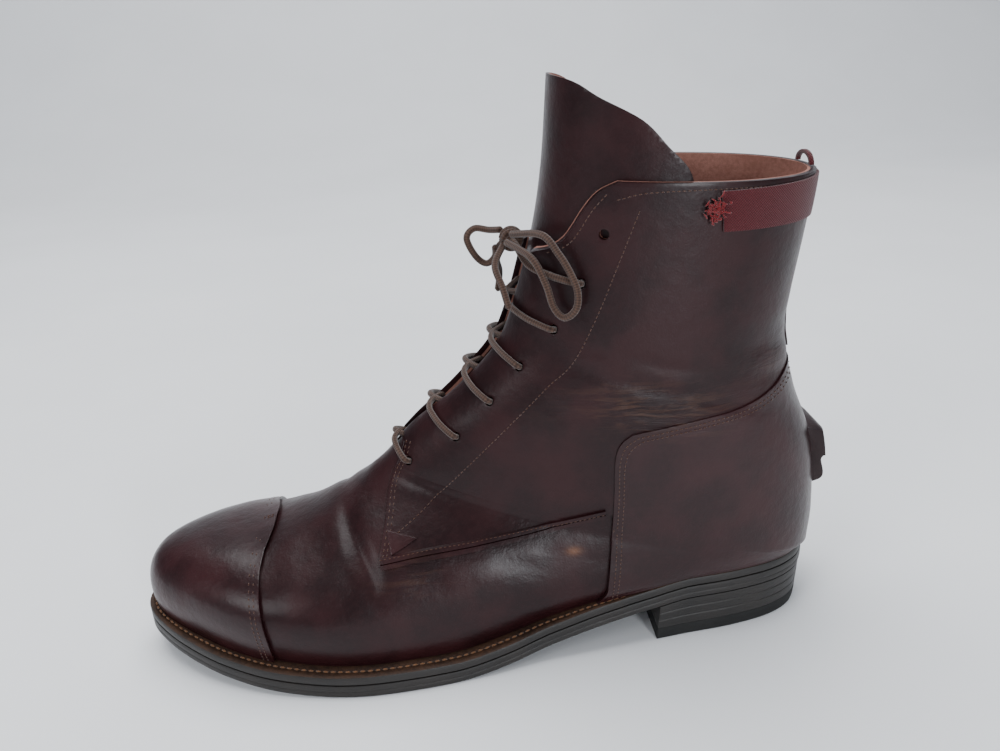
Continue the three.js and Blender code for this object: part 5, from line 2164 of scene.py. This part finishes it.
@dataclass
class Laces:
    """The round cord: strands between the facings, the knot and the bow."""

    radius: float = SIZES.lace / 2
    raise_by: float = SIZES.quarter_step + 3 * SIZES.gap + SIZES.lace / 2
    knot: tuple[float, float, float] = (131.0, 0.5, 176.0)
    radii: tuple[float, float, float] = (5.0, 5.5, 4.5)
    crossings: int = 5
    loop_lateral: Points = (
        (132, 7.8, 179.5), (121.4, 22.5, 182), (115.9, 29.5, 176), (112.2, 33, 169.4),
        (110, 35.3, 162.9), (110.8, 36, 156.5), (114.8, 33.5, 152.6), (118.5, 31, 156.1),
        (121, 28, 164.7), (125.5, 22.5, 173.4), (134, 7.2, 176.6),
    )
    loop_medial: Points = (
        (134, -5, 178.5), (139, -10, 177.5), (145, -12, 178), (148.4, -10, 174.6),
        (145.2, -9, 167.2), (140.9, -8.6, 163.9), (137.4, -7.0, 167), (137.2, -3.9, 172.5),
    )
    end_lateral: Points = ((134.9, 3.9, 173.7), (138.6, 10.5, 168), (136.5, 17, 161), (134.5, 20.5, 153))
    end_medial: Points = (
        (135.5, -6.2, 171.5), (136.5, -12, 165), (135, -19.5, 157), (136.1, -20.5, 148),
    )

    def _strand(self, side: Side, index: int) -> Array:
        """From a hole, over its own facing's edge and under the far facing.

        Args:
            side: The side that the strand starts from.
            index: The hole's number.

        Returns:
            The points along the strand.
        """
        (row, share), (after, _) = HOLE_SPOTS[side][index], HOLE_SPOTS[side][index + 1]
        other = Side(-side.value)
        route = []
        for on, out, face, lift in (
            (-0.02, 1.0, side, -1.6), (0.0, 1.0, side, 1.2), (0.04, 0.95, side, self.raise_by - 0.3),
            (0.2, 0.62, side, self.raise_by - 0.2), (0.36, 0.25, side, self.raise_by - 0.3),
            (0.5, 0.02, other, self.raise_by - 2.0 - 0.8 * (side is Side.MEDIAL)),
            (0.62, 0.3, other, -1.4), (0.72, 0.5, other, -2.0),
        ):
            route.append(SKIN.at(row + (after - row) * on, share * out, face, lift)[0])
        return smooth_line(route, 0.9)

    def strands(self) -> list[bpy.types.Object]:
        """The strands between the facings, a pair to each piece.

        Returns:
            The pieces.
        """
        pieces = []
        for index in range(self.crossings):
            pair = [
                tube("strand", self._strand(side, index), self.radius, flat=0.9) for side in BOTH
            ]
            name = f"lace_crossing_{index + 1}"
            pieces.append(settle(
                combined(f"lace_pair_{index + 1}", pair), PAINTS[LACE_CLOTH], [name]
            ))
        return pieces

    def cord(
        self, name: str, route: Array, node: str
    ) -> bpy.types.Object:
        """One free stretch of the lace.

        Args:
            name: The new object's name.
            route: The points along the cord.
            node: The solid that it stands for.

        Returns:
            The piece.
        """
        line = smooth_line(route, 0.9)
        piece = tube(name, line, self.radius)
        settle(piece, PAINTS[LACE_CLOTH], [node])
        path = to_frame(line)
        tuple(path[0])
        return piece

    def bow(self) -> list[bpy.types.Object]:
        """The leads to the knot, its two loops and the two ends.

        Returns:
            The pieces.
        """
        pieces = []
        knot = np.array(self.knot)
        for side in BOTH:
            (row, share), (after, _) = (HOLE_SPOTS[side][self.crossings + k] for k in (0, 1))
            route = [
                SKIN.at(row + (after - row) * on, share * out, side, lift)[0]
                for on, out, lift in (
                    (0.0, 1.0, -1.8), (0.0, 1.0, 1.0), (0.03, 0.95, self.raise_by), (0.1, 0.7, self.raise_by),
                    (0.2, 0.42, self.raise_by),
                )
            ]
            route.append(knot + [-1, side.value * (self.radii[1] + 0.6), -1])
            route.append(knot + [0.5, side.value * 1.5, 0])
            name = side.name.lower()
            pieces.append(self.cord(f"lead_{name}", route, f"lace_lead_{name}"))
        for name, route, far_end in (
            ("loop_lateral", self.loop_lateral, "object"), ("loop_medial", self.loop_medial, "object"),
            ("end_lateral", ((132.5, 1.2, 175.6), *self.end_lateral), "bare"),
            ("end_medial", ((133.0, -2.5, 174.5), *self.end_medial), "bare"),
        ):
            pieces.append(self.cord(name, route, "lace_" + name))
        return pieces

    def tie(self) -> bpy.types.Object:
        """The knot: the cord wound over itself.

        Returns:
            The piece.
        """
        middle = np.array(self.knot)
        turns = np.linspace(0, 2 * np.pi, 40)
        parts = []
        for lean, wide, tall, shift in ((0.5, 3.4, 3.3, -1.9), (-0.35, 3.6, 3.5, 0.4), (0.15, 3.2, 3.2, 2.4)):
            line = np.stack([
                middle[0] + wide * np.cos(turns), middle[1] + shift + lean * wide * np.sin(turns),
                middle[2] + tall * np.sin(turns),
            ], axis=1)
            parts.append(tube("wrap", line, self.radius * 1.05, flat=0.9))
        bm = bmesh.new()
        scale = Matrix.Diagonal([size * 0.72 * MM for size in self.radii]).to_4x4()
        bmesh.ops.create_uvsphere(
            bm, u_segments=24, v_segments=16, radius=1.0,
            matrix=Matrix.Translation(to_frame(middle)) @ scale,
        )
        for face in bm.faces:
            face.smooth = True
        parts.append(object_of("core", bm))
        return settle(combined("knot", parts), PAINTS[LACE_CLOTH], ["lace_knot"])

    def build(self) -> list[bpy.types.Object]:
        """Makes and dresses the pieces."""
        return [*self.bow(), self.tie(), *self.strands()]


def main() -> None:
    """Builds the scene in order."""
    logging.basicConfig(level=logging.INFO, format="%(name)s: %(message)s")
    Viewpoint().build()
    for assembly in (Laces(), Uppers(), Overlays(), PullTab(), Soles(), Seams()):
        pieces = assembly.build()
        LOG.info("%s: %s", type(assembly).__name__, ", ".join(piece.name for piece in pieces))
    Studio().build()


if __name__ == "__main__":
    main()
